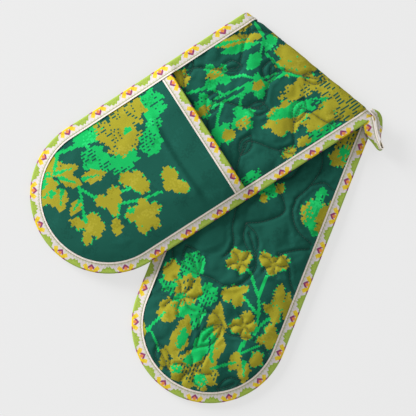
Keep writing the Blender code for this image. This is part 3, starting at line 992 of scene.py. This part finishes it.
strip = flat_shell("strip", STRIP, 2, strip_lifts)
start = vertices_of(strip)
sewn_distance = from_needle(start[:, 0], start[:, 1])
edge_inset = strip_inset(start[:, 0], start[:, 1])
sewn = sewn_distance < NEEDLE_PINS
hemmed = edge_inset < HEM
start[sewn, 2] = np.sign(start[sewn, 2]) * 0.0010
set_vertices(strip, start)
swell(strip, sewn | hemmed, pressure=2.2, fullness=0.06, cap=0.0033)
blown_strip = vertices_of(strip)
# Neither cloth may pass through the other where the wadding is thin.
face_side = np.sign(start[:, 2])
blown_strip[:, 2] = face_side * np.maximum(face_side * blown_strip[:, 2], THINNEST)
set_vertices(strip, blown_strip)
subdivided(strip)
print("strip:", len(strip.data.polygons), "cells")

# %% Groove it, crinkle it and dye it
fine = vertices_of(strip)
own_place = cloth_places(strip)
fine_distance = from_needle(own_place[:, 0], own_place[:, 1])
inside_tape = strip_inset(own_place[:, 0], own_place[:, 1]) - 0.012
side = np.sign(fine[:, 2])
groove = 0.0012 * np.exp(-(fine_distance / 0.0021) ** 2)
crinkled = np.where(side > 0, crinkle(own_place, 3.0), crinkle(own_place, 19.0))
crinkled *= 1 + 1.6 * np.exp(-(fine_distance / 0.005) ** 2)
from_crest = own_place[:, 0] - crest(own_place[:, 1])
stretched = np.exp(-(from_crest / 0.020) ** 2)
calm = 1 - 0.8 * stretched * smooth(inside_tape / 0.01)
puffed = STRETCHED_HALF + (np.abs(fine[:, 2]) - groove - STRETCHED_HALF) * calm
thick = puffed + crinkled * smooth(inside_tape / 0.004)
fine[:, 2] = side * np.clip(thick, LEAST_HALF, MOST_HALF)
set_vertices(strip, fine)
needle_gap = strip.data.attributes.new("needle", "FLOAT", "POINT")
needle_gap.data.foreach_set("value", (fine_distance * 1000).astype(np.float32))
dye_cells(strip, face_print, back_print)


# %% Cut it at the crest and lay both halves down
def cut_off(name, whole, place, normal, **cleared):
    """A copy of a flat piece, cut at a plane, less what is cleared, and closed at the cut."""
    obj = put_in_scene(name, whole.data.copy())
    bm = bmesh.new()
    bm.from_mesh(obj.data)
    geometry = bm.verts[:] + bm.edges[:] + bm.faces[:]
    bmesh.ops.bisect_plane(bm, geom=geometry, dist=1e-6, plane_co=place, plane_no=normal, **cleared)
    open_edges = [edge for edge in bm.edges if edge.is_boundary]
    filled = bmesh.ops.holes_fill(bm, edges=open_edges, sides=0)
    bmesh.ops.triangulate(bm, faces=filled["faces"])
    bm.to_mesh(obj.data)
    bm.free()
    return obj


def along_leg(leg, from_upper_tip):
    """A place along the strip from the upper tip, measured from the leg's own tip."""
    return from_upper_tip if leg == "upper" else STRIP - from_upper_tip


def lay_down(obj, leg, from_upper_tip=False):
    """Move a flat piece's vertices to their folded places, none of them under the table."""
    flat = vertices_of(obj)
    along = along_leg(leg, flat[:, 0]) if from_upper_tip else flat[:, 0]
    placed = fold_down(leg, along, flat[:, 1], flat[:, 2])
    placed[:, 2] = np.maximum(placed[:, 2], TABLE_GAP)
    set_vertices(obj, placed)


pads, pad_surface = {}, {}
for leg in LEG:
    lost = {"clear_outer": leg == "upper", "clear_inner": leg == "lower"}
    pad = cut_off(f"{leg}_pad", strip, (crest(0.0), 0, 0), (1, -TAN, 0), **lost)
    pad_surface[leg] = BVHTree.FromPolygons(
        vertices_of(pad).tolist(), [list(p.vertices) for p in pad.data.polygons])
    lay_down(pad, leg, from_upper_tip=True)
    pads[leg] = finish_piece(pad, QUILTED_PRINT)
bpy.data.objects.remove(strip)

# %% [markdown]
# ## The pockets
# A pocket's panel isn't quilted: printed cloth, a thin wadding and a lining, sewn in at
# the edge and bound at its mouth. It is made like the strip, but softer and smoother,
# with the one crease that folding pressed into it. It is parted down its middle line,
# because when the pocket opens each half hinges from its own side seam.


# %% Make a pocket's panel
MOUTH_HEM = POCKET_DEPTH - 0.0125
CREASE_AT = 0.174


def pocket_panel(leg, turned):
    """A pocket's whole panel, flat."""
    def lifts(along, across):
        inset = inset_of(along, across)
        hollow = room(leg, along, inset)
        return strip_face(inset) + 0.0003 + hollow, pocket_stack(inset) + hollow

    panel = flat_shell(f"{leg}_pocket_panel", POCKET_DEPTH, 1, lifts)
    start = vertices_of(panel)
    inset = inset_of(start[:, 0], start[:, 1])
    held = (inset < HEM) | (start[:, 0] > MOUTH_HEM)
    swell(panel, held, pressure=0.3, fullness=0.01, cap=0.0007)
    subdivided(panel)
    places = cloth_places(panel)
    top = np.array([v.normal.z for v in panel.data.vertices]) > 0
    free = smooth((inset_of(places[:, 0], places[:, 1]) - 0.012) / 0.02)
    free *= smooth((MOUTH_HEM - places[:, 0]) / 0.02)
    across = places[:, 1] * turned
    step = places[:, 0] - CREASE_AT - (across - 0.012) ** 2
    ends = smooth((across + 0.060) / 0.025) * smooth((0.078 - across) / 0.03)
    ridge, valley = np.exp(-(step / 0.0036) ** 2), np.exp(-((step - 0.007) / 0.0045) ** 2)
    crease = (0.0022 * ridge - 0.0018 * valley) * ends
    billow = np.array([0.0007 * noise.noise(Vector((a / 0.045, c / 0.045, 5.0))) for a, c in places])
    shape = vertices_of(panel)
    shape[:, 2] += free * (crease + billow + crinkle(places, 41.0, 0.014, 0.006))
    set_vertices(panel, shape)
    dye_cells(panel, pocket_prints[leg], None)
    return panel


SIDES = {-1: "plain_side", 1: "loop_side"}
pocket_halves = {}
for leg, turned in TURNED.items():
    panel = pocket_panel(leg, turned)
    for side, label in SIDES.items():
        half = cut_off(f"{panel.name}_{label}", panel, (0, 0, 0), (0, side, 0), clear_inner=True)
        lay_down(half, leg)
        pocket_halves[leg, side] = finish_piece(half, POCKET_CLOTH)
    bpy.data.objects.remove(panel)

# %% [markdown]
# ## Patterned tape
# The edge is bound in cotton tape, folded over it and stitched through. Its pattern
# repeats: a yellow flower with a purple chevron and an orange heart, a green hill with
# spiky tops, and an olive line and small leaves by a ribbed selvedge. It follows the
# tape round every curve, so it is a sum of fields over the tape's own length and width.

# %% The finish of the tape
TAPE_WIDTH = 0.013
PATTERN_START = 14.7
CREST_RUN = {
    (leg, side): LEG[leg] + TURNED[leg] * side * HALF_WIDTH * TAN + (math.pi / 2 - 1) * HALF_WIDTH
    for leg in LEG for side in SIDES
}
TAPE_LENGTH = sum(CREST_RUN.values())
REPEAT = TAPE_LENGTH / round(TAPE_LENGTH / 0.042) * 1000
print("edge tape", round(TAPE_LENGTH, 3), "m long, pattern repeat", round(REPEAT, 2), "mm")


def patterned_tape(name):
    finish = Finish(name, 0.85, Specular_IOR_Level=0.12)
    run, wide = finish.flat_place()
    ragged = (finish.grain((run, wide), 0.9, 1.0) - 0.5) * 1.5
    tape = TAPE_WIDTH * 1000
    y = tape - abs(wide - tape)
    within = {0: run + PATTERN_START, 1: REPEAT / 2, 2: -REPEAT / 2}
    x = finish.node("ShaderNodeMath", {"operation": "WRAP"}, within)
    far = abs(x)

    def spot(place, size):
        dx, dy = (x if place[0] is None else far - place[0]), y - place[1]
        dx, dy = dx * (1 / size[0]), dy * (1 / size[1])
        reach = (dx * dx + dy * dy).maths("SQRT")
        return ((1.0 - reach) * min(size) + ragged * 0.5).mask(0.5)

    def diamond(place, size):
        reach = abs(far - place[0]) * (1 / size[0]) + abs(y - place[1]) * (1 / size[1])
        return ((1.0 - reach) * min(size) + ragged * 0.5).mask(0.5)

    cream, pale = colour(222, 213, 209), colour(208, 199, 205)
    stipple = finish.grain((run, wide), 1.1, 0.0)
    field = finish.mix((stipple - 0.55).mask(0.1), cream, pale)
    green, light_green = colour(150, 176, 64), colour(172, 194, 94)
    from_hill = REPEAT / 2 - far
    peak = finish.node("ShaderNodeMath", {"operation": "PINGPONG"}, {0: from_hill + 0.5, 1: 2.3})
    slope = from_hill * from_hill * 0.056
    hill = (6.2 + peak * 1.05 - slope - (tape - y) + ragged * 1.1).mask(0.5)
    crown = (3.6 + peak * 1.3 - slope - (tape - y) + ragged * 2.4).mask(0.7) * 0.45
    field = finish.mix(hill, field, green)
    field = finish.mix(crown, field, light_green)
    yellow, orange, purple = colour(226, 196, 38), colour(228, 142, 70), colour(146, 62, 108)
    gold = finish.mix((stipple - 0.5).mask(0.2), yellow, colour(232, 208, 84))
    field = finish.mix(diamond((7.4, 8.1), (3.4, 3.3)), field, gold)
    field = finish.mix(spot((5.6, 10.2), (2.4, 2.2)), field, yellow)
    field = finish.mix((8.4 - far).maths("MINIMUM", y - 10.6).mask(0.6), field, yellow)
    field = finish.mix(spot((None, 8.9), (2.3, 2.0)), field, orange)
    chevron = (1.15 - abs(y - 5.3 - far * 0.95) * 0.8).maths("MINIMUM", 3.9 - far)
    field = finish.mix((chevron + ragged * 0.4).mask(0.5), field, purple)
    field = finish.mix(spot((7.9, 12.7), (2.4, 1.3)), field, purple)
    leaflet = finish.node("ShaderNodeMath", {"operation": "PINGPONG"}, {0: run, 1: 2.1})
    leaves = (leaflet * 0.8 - 0.1 - abs(y - 3.3) + ragged * 0.4).mask(0.4)
    field = finish.mix(leaves * 0.5, field, colour(176, 190, 124))
    field = finish.mix((0.36 - abs(y - 2.3)).mask(0.3) * 0.85, field, colour(120, 114, 70))
    selvedge = (1.9 - y).mask(0.2)
    field = finish.mix(selvedge, field, colour(239, 229, 219))
    rib = (run * (2 * math.pi / 1.1)).maths("SINE")
    weave = (wide * (2 * math.pi / 0.8)).maths("SINE") * rib
    shade = 0.84 + weave * 0.03 + rib * selvedge * 0.05 + stipple * 0.14
    finish.feed(finish.shader.inputs["Base Color"], finish.shade(field, shade))
    finish.bump(weave * 0.4 + rib * selvedge + stipple, 0.00012, 0.9)
    return finish.material


PATTERNED_TAPE = patterned_tape("patterned_tape")

# %% [markdown]
# A bound edge is a tape folded round everything it covers. One ring of points goes
# over the top, round the edge, back underneath, and returns inside by the tape's
# thickness. The ring walks along the edge, and small puckers grow where the tape
# turns the round tip, because its inner edge has more length than it needs.

# %% The ring of a folded tape
TAPE = 0.0006
TOP_INSETS = (0.0130, 0.0124, 0.0117, 0.0109, 0.0100, 0.0084, 0.0066, 0.0048, 0.0030, 0.0015)
TURN = [math.radians(angle) for angle in (30, 60, 90, 120, 150)]


def tape_ring(high, low):
    """(inset, lift, width) round a tape that covers what lies from low(inset) to high(inset)."""
    top = [(inset, high(inset) + TAPE) for inset in TOP_INSETS]
    bottom = [(inset, low(inset) - TAPE) for inset in reversed(TOP_INSETS)]
    middle = (top[-1][1] + bottom[0][1]) / 2
    half = (top[-1][1] - bottom[0][1]) / 2
    bend = [(0.0015 * (1 - math.sin(t)), middle + half * math.cos(t)) for t in TURN]
    inner_bend = [(TAPE + 0.0009 * (1 - math.sin(t)), middle + (half - TAPE) * math.cos(t)) for t in TURN]
    outer = top + bend + bottom
    inner = [(inset, lift - TAPE) for inset, lift in top] + inner_bend
    inner += [(inset, lift + TAPE) for inset, lift in bottom]
    width = [TAPE_WIDTH - inset for inset, _ in top]
    width += [TAPE_WIDTH + 0.0004 * (k - 2) for k in range(len(TURN))]
    width += [2 * TAPE_WIDTH - w for w in reversed(width[:len(top)])]
    return [(*point, w) for point, w in zip(outer + inner[::-1], width + width[::-1])]


# %% A band through rings
def band_mesh(name, runs, rings, widths):
    """A closed band through rings of points, with each point's place along and across the tape."""
    rows, count = len(rings), len(rings[0])
    corners = [[(k, i), (k, (i + 1) % count), (k + 1, (i + 1) % count), (k + 1, i)]
               for k in range(rows - 1) for i in range(count)]
    for k in (0, rows - 1):
        for i in range(count // 2 - 1):
            end = [(k, i), (k, i + 1), (k, count - 2 - i), (k, count - 1 - i)]
            corners.append(end[::-1] if k == 0 else end)
    mesh = bpy.data.meshes.new(name)
    places = np.array(rings).reshape(-1, 3).tolist()
    mesh.from_pydata(places, [], [[k * count + i for k, i in quad] for quad in corners])
    uvs = [(runs[k], widths[k][i]) for quad in corners for k, i in quad]
    mesh.uv_layers.new(name="flat").data.foreach_set("uv", np.array(uvs, np.float32).ravel())
    return put_in_scene(name, mesh)


def tape_mesh(name, runs, rings, place):
    """The band through tape_ring's rings. place(k, inset, lift) is a flat place."""
    flat = [[place(k, inset, lift) for inset, lift, _ in ring] for k, ring in enumerate(rings)]
    return band_mesh(name, runs, flat, [[width for _, _, width in ring] for ring in rings])


def pucker(run, inset, amount, seed):
    """Small waves of the tape, largest at its free inner edge."""
    wave = 0.5 + 0.5 * math.sin(run / 0.0011 + 2.0 * math.sin(run / 0.0071 + seed))
    free = float(smooth((inset - 0.002) / 0.011))
    soft = 0.5 + 0.5 * noise.noise(Vector((run / 0.012, inset / 0.006, seed)))
    return amount * wave * free + 0.00022 * soft * free


# %% The tape round each leg
TAPE_STEP = 0.0022
TAPE_CLEAR = 0.00022
QUARTER = math.pi / 2 * HALF_WIDTH
SLANT_FROM = 0.30
PAST_MOUTH, MOUTH_TAPE_FROM = 0.2262, 0.2055


def edge_place(leg, run, inset):
    """(along, across) of a place on the tape round a leg: run is 0 at the middle of the tip."""
    reach = HALF_WIDTH - inset
    if abs(run) <= QUARTER:
        angle = run / HALF_WIDTH
        return HALF_WIDTH - reach * math.cos(angle), reach * math.sin(angle)
    side = 1 if run > 0 else -1
    across = side * reach
    end = CREST_RUN[leg, side]
    share = float(smooth((abs(run) - SLANT_FROM) / (end - SLANT_FROM)))
    lean = TURNED[leg] * (across - side * HALF_WIDTH) * TAN
    return HALF_WIDTH + abs(run) - QUARTER + lean * share, across


def over_edge(leg, along, inset):
    """Lift of what the tape covers on the pocket's side."""
    pocket = float(pocket_stack(inset) + room(leg, along, inset))
    passed = float(smooth((along - PAST_MOUTH) / 0.010))
    over_mouth_tape = smooth((along - MOUTH_TAPE_FROM) / 0.004) * (1 - smooth((along - PAST_MOUTH) / 0.006))
    raised = 0.0010 * float(over_mouth_tape * smooth((inset - 0.002) / 0.004))
    return pocket * (1 - passed) + float(strip_face(inset)) * passed + raised


# %% Its rings, all the way round a leg
def edge_ring(leg, run):
    gather = 0.00026 * (1 - float(smooth((abs(run) - QUARTER) / 0.02))) + 0.00005

    def high(inset):
        along, _ = edge_place(leg, run, inset)
        return over_edge(leg, along, inset) + TAPE_CLEAR + pucker(run, inset, gather, 1.0)

    def low(inset):
        return -float(strip_face(inset)) - TAPE_CLEAR - pucker(run, inset, gather, 9.0)

    return tape_ring(high, low)


def edge_tape(leg):
    """The tape round a leg's edge, from the crest on one side to the crest on the other."""
    first, last = -CREST_RUN[leg, -1], CREST_RUN[leg, 1]
    steps = np.linspace(first, last, round((last - first) / TAPE_STEP) + 1)
    rings = [edge_ring(leg, run) for run in steps]
    # The pattern runs on over the fold, so the lower leg's tape counts on from the upper's.
    runs = steps if leg == "upper" else CREST_RUN["upper", 1] + CREST_RUN["lower", 1] - steps

    def place(k, inset, lift):
        return (*edge_place(leg, steps[k], inset), lift)

    tape = tape_mesh(f"{leg}_edge_tape", runs, rings, place)
    lay_down(tape, leg)
    return finish_piece(tape, PATTERNED_TAPE, 80)


edge_tapes = {leg: edge_tape(leg) for leg in LEG}


# %% The tape round a pocket's mouth
MOUTH_END = 0.0085
MOUTH_EDGE = POCKET_DEPTH + 0.0008


def mouth_ring(leg, across):
    inset = float(HALF_WIDTH - abs(across))
    hollow = float(room(leg, POCKET_DEPTH, np.array(inset)))
    tuck = 0.0003 * (1 - float(smooth((inset - 0.010) / 0.006)))
    high = float(pocket_stack(inset)) + hollow + 0.0002 - tuck
    low = float(strip_face(inset)) + 0.0002 + hollow
    return tape_ring(lambda back: high + pucker(across, back, 0.0001, 3.0), lambda back: low)


def mouth_tape(leg, side):
    """Half of the tape round a pocket's mouth, from its middle to the seam on one side."""
    reach = HALF_WIDTH - MOUTH_END
    runs = np.linspace(0.0, side * reach, round(reach / TAPE_STEP) + 1)
    rings = [mouth_ring(leg, run) for run in runs]

    def place(k, back, lift):
        return MOUTH_EDGE - back, runs[k], lift

    tape = tape_mesh(f"{leg}_mouth_tape_{SIDES[side]}", runs + 0.010, rings, place)
    lay_down(tape, leg)
    return finish_piece(tape, PATTERNED_TAPE, 80)


mouth_tapes = {(leg, side): mouth_tape(leg, side) for leg in LEG for side in SIDES}

# %% [markdown]
# ## The hanging loop
# The loop is a length of the same tape, folded in two, that leaves the edge at the
# fold's corner. One leg of it lies flat over the lower edge, and the other comes over
# the corner. Both twist until they stand on edge at the loop's end, which leaves a
# narrow slit for the hook. So it is a flat band swept along a hairpin.

# %% The hairpin that the band follows
LOOP_HEADING = math.radians(-74.9)
LOOP_ROOT = np.array(next(j["pos_m"] for j in frame["joints"] if j["name"] == "loop_swing"))
LOOP_AHEAD = np.array((math.cos(LOOP_HEADING), math.sin(LOOP_HEADING), 0.0))
LOOP_BESIDE = np.array((-math.sin(LOOP_HEADING), math.cos(LOOP_HEADING), 0.0))
LOOP_TURN, LOOP_ROUND = 31.0, 1.5
TILT_SCALE = 5.0
# The upper edge of each leg: ahead, beside and lift in mm, then the band's tilt in degrees.
LYING_END, CORNER_END = 74, 101
LYING_LEG = [
    (-6, -0.6, 4.4, 3), (0, -0.4, 4.2, 4), (7, -0.9, 3.8, 8), (13, -1.3, 3.3, 22), (22, -1.4, 2.4, 56),
    (LOOP_TURN, -0.6, 1.5, LYING_END)]
CORNER_LEG = [
    (-12.0, -3.4, 13.6, 66), (-6.5, -0.4, 12.4, 52), (-2, 0.8, 9.5, 50), (4, 0.4, 6.6, 54),
    (13, -0.4, 4.0, 62), (22, 1.0, 2.6, 84), (LOOP_TURN, 2 * LOOP_ROUND - 0.6, 1.6, CORNER_END)]


def leg_of_loop(places, side):
    """(ahead, beside, lift, tilt, out ahead, out beside) along one leg, from the edge to the turn."""
    rows = curve_through(np.array(places) / (1, 1, 1, TILT_SCALE), 1.2)
    heading = np.gradient(rows[:, :2], axis=0)
    heading /= np.linalg.norm(heading, axis=1, keepdims=True)
    out = side * np.column_stack((-heading[:, 1], heading[:, 0]))
    return np.column_stack((rows[:, :3], rows[:, 3] * TILT_SCALE, out))


def turn_of_loop():
    """The same round the loop's end, from the lying leg to the corner leg."""
    turns = np.linspace(0, math.pi, 11)[1:-1]
    out = np.column_stack((np.sin(turns), -np.cos(turns)))
    middle = np.array((LOOP_TURN, LOOP_ROUND - 0.6))
    tilts = LYING_END + (CORNER_END - LYING_END) * turns / math.pi
    return np.column_stack((middle + LOOP_ROUND * out, np.full(len(turns), 1.5), tilts, out))


LOOP_PATH = np.vstack((leg_of_loop(LYING_LEG, -1), turn_of_loop(), leg_of_loop(CORNER_LEG, 1)[::-1]))

# %% Sweep the band along it
LOOP_BAND = 0.0129
LOOP_PHASE = 0.0153
LOOP_THICK = 0.0011
SHARES = np.arange(13) / 12
BAND = [*((share, 0.5) for share in SHARES), *((share, -0.5) for share in SHARES[::-1])]
steps = np.linalg.norm(np.diff(LOOP_PATH[:, :2], axis=0), axis=1) / 1000
loop_runs = np.concatenate(([0.0], np.cumsum(steps)))
loop_rings = []
for x, y, lift, tilt, out_ahead, out_beside in LOOP_PATH:
    tilt = math.radians(tilt)
    outward = LOOP_AHEAD * out_ahead + LOOP_BESIDE * out_beside
    down = outward * math.cos(tilt) - UP * math.sin(tilt)
    face = outward * math.sin(tilt) + UP * math.cos(tilt)
    upper_edge = LOOP_ROOT + (LOOP_AHEAD * x + LOOP_BESIDE * y + UP * lift) / 1000
    ring = []
    for share, layer in BAND:
        soft = 0.00030 * math.sin(share * 7 + x * 0.21) * share
        thick = LOOP_THICK * (1 - 0.4 * abs(2 * share - 1) ** 4)
        ring.append(upper_edge + down * share * LOOP_BAND + face * (layer * thick + soft))
    loop_rings.append(ring)
across_band = [[share * LOOP_BAND for share, _ in BAND]] * len(loop_rings)
loop = band_mesh("loop_tape", loop_runs + LOOP_PHASE, loop_rings, across_band)
finish_piece(loop, PATTERNED_TAPE, 80)

# %% [markdown]
# ## Stitches
# Thousands of equal stitches are the plainest case for Geometry Nodes: one small
# thread shape, set on every point of a line, turned to lie along it and flat on the
# cloth. The points are found here, because only the script knows the folded surface.
# The nodes do the rest, and the result is kept as plain mesh.


# %% The stitch tree
def stitch_tree():
    tree = bpy.data.node_groups.new("stitches_on_points", "GeometryNodeTree")
    face = tree.interface
    face.new_socket("Points", in_out="INPUT", socket_type="NodeSocketGeometry")
    sockets = {
        name: face.new_socket(name, in_out="INPUT", socket_type=kind)
        for name, kind in (("Stitch length", "NodeSocketFloat"), ("Thread width", "NodeSocketFloat"),
                           ("Thread", "NodeSocketMaterial"))
    }
    face.new_socket("Stitches", in_out="OUTPUT", socket_type="NodeSocketGeometry")

    def add(kind, inputs, **settings):
        """A node with its settings, and with values or other nodes' outputs in its sockets."""
        made = tree.nodes.new(kind)
        for key, value in settings.items():
            setattr(made, key, value)
        for key, value in inputs.items():
            if isinstance(value, bpy.types.NodeSocket):
                tree.links.new(value, made.inputs[key])
            else:
                made.inputs[key].default_value = value
        return made

    given = add("NodeGroupInput", {}).outputs
    ball = add("GeometryNodeMeshUVSphere", {"Segments": 6, "Rings": 4, "Radius": 0.5})
    wide = given["Thread width"]
    size = add("ShaderNodeCombineXYZ", {0: given["Stitch length"], 1: wide, 2: wide})
    turned = {}
    for attribute, axis, pivot in (("up", "Z", "AUTO"), ("ahead", "X", "Z")):
        named = add("GeometryNodeInputNamedAttribute", {"Name": attribute}, data_type="FLOAT_VECTOR")
        inputs = {"Vector": named.outputs["Attribute"], **turned}
        turn = add("FunctionNodeAlignRotationToVector", inputs, axis=axis, pivot_axis=pivot)
        turned = {"Rotation": turn.outputs["Rotation"]}
    place = add("GeometryNodeInstanceOnPoints", {
        "Points": given["Points"], "Instance": ball.outputs["Mesh"], "Scale": size.outputs[0], **turned})
    real = add("GeometryNodeRealizeInstances", {"Geometry": place.outputs["Instances"]})
    dyed = add("GeometryNodeSetMaterial", {"Geometry": real.outputs["Geometry"], "Material": given["Thread"]})
    add("NodeGroupOutput", {"Stitches": dyed.outputs["Geometry"]})
    return tree, sockets


STITCH_TREE, STITCH_SOCKETS = stitch_tree()


# %% Threads, and a mesh of stitches
def thread_finish(name, tint):
    finish = Finish(name, 0.7, Sheen_Weight=0.2)
    place = finish.node("ShaderNodeTexCoord", None, None, 3)
    twist = finish.node("ShaderNodeTexNoise", None, {"Vector": place, "Scale": 900.0, "Detail": 1.0})
    base = finish.mix(twist, tuple(c * 0.75 for c in tint[:3]) + (1.0,), tint)
    finish.feed(finish.shader.inputs["Base Color"], base)
    return finish.material


GREEN_THREAD = thread_finish("green_thread", colour(18, 60, 50))
TAN_THREAD = thread_finish("tan_thread", colour(196, 184, 150))


def stitches(name, places, ahead, up, length, width, thread):
    """One mesh with a stitch on every place."""
    mesh = bpy.data.meshes.new(name)
    mesh.from_pydata(np.asarray(places).tolist(), [], [])
    for label, values in (("ahead", ahead), ("up", up)):
        layer = mesh.attributes.new(label, "FLOAT_VECTOR", "POINT")
        layer.data.foreach_set("vector", np.asarray(values, np.float32).ravel())
    obj = put_in_scene(name, mesh)
    sewing = obj.modifiers.new("sewing", "NODES")
    sewing.node_group = STITCH_TREE
    sewing[STITCH_SOCKETS["Stitch length"].identifier] = length
    sewing[STITCH_SOCKETS["Thread width"].identifier] = width
    sewing[STITCH_SOCKETS["Thread"].identifier] = thread
    graph = bpy.context.evaluated_depsgraph_get()
    finished = bpy.data.meshes.new_from_object(obj.evaluated_get(graph))
    obj.modifiers.remove(sewing)
    obj.data = finished
    finished.shade_smooth()
    print(name, len(places), "stitches,", len(finished.polygons), "faces")
    return obj


NUDGE = 0.0005
PROUD = 0.0001
STITCH_GAP = 0.0004


def sew(name, leg, rows, length, width, thread):
    """Stitches on folded cloth. Rows: along, across, lift, run along, run across, side faced."""
    along, across, lift, *run, side = np.array(rows, float).T
    run = np.array(run) / np.linalg.norm(run, axis=0)
    here = fold_down(leg, along, across, lift)
    ahead = fold_down(leg, along + run[0] * NUDGE, across + run[1] * NUDGE, lift) - here
    up = fold_down(leg, along, across, lift + side * NUDGE) - here
    here[:, 2] = np.maximum(here[:, 2], STITCH_GAP)
    return stitches(name, here, ahead, up, length, width, thread)


# %% Quilting stitches
QUILT_PITCH = 0.0034
QUILT_STITCH = 0.0030, 0.00062, GREEN_THREAD
quilt_stitches = {}
for leg in LEG:
    rows = []
    for line in QUILTING:
        gaps = np.linalg.norm(np.diff(line, axis=0), axis=1)
        total = np.concatenate(([0.0], np.cumsum(gaps)))
        stops = np.arange(QUILT_PITCH / 2, total[-1], QUILT_PITCH)
        before, (s, c), after = (
            [np.interp(stops + nudge, total, line[:, k]) for k in (0, 1)] for nudge in (-NUDGE, 0.0, NUDGE))
        ds, dc = after[0] - before[0], after[1] - before[1]
        on_upper = s < crest(c)
        for k in np.flatnonzero(on_upper if leg == "upper" else ~on_upper):
            for side in (1, -1):
                above = Vector((s[k], c[k], side * 0.02))
                hit = pad_surface[leg].ray_cast(above, Vector((0, 0, -side)))[0]
                if hit is not None:
                    lift = hit.z + side * 1.2 * PROUD
                    rows.append((along_leg(leg, s[k]), c[k], lift, TURNED[leg] * ds[k], dc[k], side))
    quilt_stitches[leg] = sew(f"{leg}_quilt_stitches", leg, rows, *QUILT_STITCH)

# %% Topstitching on the tapes
TOP_PITCH = 0.0030
TOP_STITCH = 0.0022, 0.0005, TAN_THREAD
STITCH_INSET = 0.0109
TOP_POINT = TOP_INSETS.index(STITCH_INSET)
UNDER_POINT = 2 * len(TOP_INSETS) + len(TURN) - 1 - TOP_POINT
tape_stitches = {}
for leg in LEG:
    rows = []
    for run in np.arange(-CREST_RUN[leg, -1] + 0.001, CREST_RUN[leg, 1], TOP_PITCH):
        ring = edge_ring(leg, run)
        a, c = edge_place(leg, run, STITCH_INSET)
        a2, c2 = edge_place(leg, run + NUDGE, STITCH_INSET)
        for point, side in ((TOP_POINT, 1), (UNDER_POINT, -1)):
            rows.append((a, c, ring[point][1] + side * PROUD, a2 - a, c2 - c, side))
    tape_stitches[leg] = sew(f"{leg}_edge_stitches", leg, rows, *TOP_STITCH)

mouth_stitches = {}
for leg in LEG:
    for side, label in SIDES.items():
        stops = side * np.arange(0.001, HALF_WIDTH - TAPE_WIDTH - 0.001, TOP_PITCH)
        lifts = [mouth_ring(leg, c)[TOP_POINT][1] + PROUD for c in stops]
        rows = [(MOUTH_EDGE - STITCH_INSET, c, lift, 0, 1, 1) for c, lift in zip(stops, lifts)]
        mouth_stitches[leg, side] = sew(f"{leg}_mouth_stitches_{label}", leg, rows, *TOP_STITCH)

# %% [markdown]
# ## What moves with what
# The fold is a roll that opens at two hinge lines, so the cloth near it bends between
# the leg and the roll. Each half of a pocket hinges from its own side seam, which
# stays on the leg while the middle rises. Here each piece keeps its place baked into
# its mesh, and only the loop is hung on a body of its own.

# %% Bake each piece's place into its mesh, and hang the loop on its own body
for leg, up_or_down in TURNED.items():
    for piece in (pads[leg], edge_tapes[leg], quilt_stitches[leg], tape_stitches[leg]):
        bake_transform(piece)
    for side in SIDES:
        seam, centre = (fold_down(leg, 0.110, c, 0.0) for c in (side * (HALF_WIDTH - 0.004), 0.0))
        seam[2] = centre[2]
        for piece in (pocket_halves[leg, side], mouth_tapes[leg, side], mouth_stitches[leg, side]):
            tuple(seam)
            tuple(centre)
            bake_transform(piece)
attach(loop, "loop")

# %% Hide the CAD solids that the pieces stand for
for leg, roll_nodes, binding in (
    ("upper", ("fold_face_cloth",), "fold_loop_side_binding"),
    ("lower", ("fold_back_cloth", "fold_wadding"), "fold_plain_side_binding"),
):
    layers = (f"{leg}_face_cloth", f"{leg}_wadding", f"{leg}_back_cloth")
    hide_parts(*layers, *roll_nodes)
    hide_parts(f"{leg}_edge_binding", binding)
    tape_run = CREST_RUN[leg, -1] + CREST_RUN[leg, 1]
    for side in SIDES:
        half, mouth = pocket_halves[leg, side], mouth_tapes[leg, side]
        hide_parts(f"{leg}_pocket_cloth", f"{leg}_pocket_wadding", f"{leg}_pocket_lining")
        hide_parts(f"{leg}_mouth_binding")
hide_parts("hanging_loop")
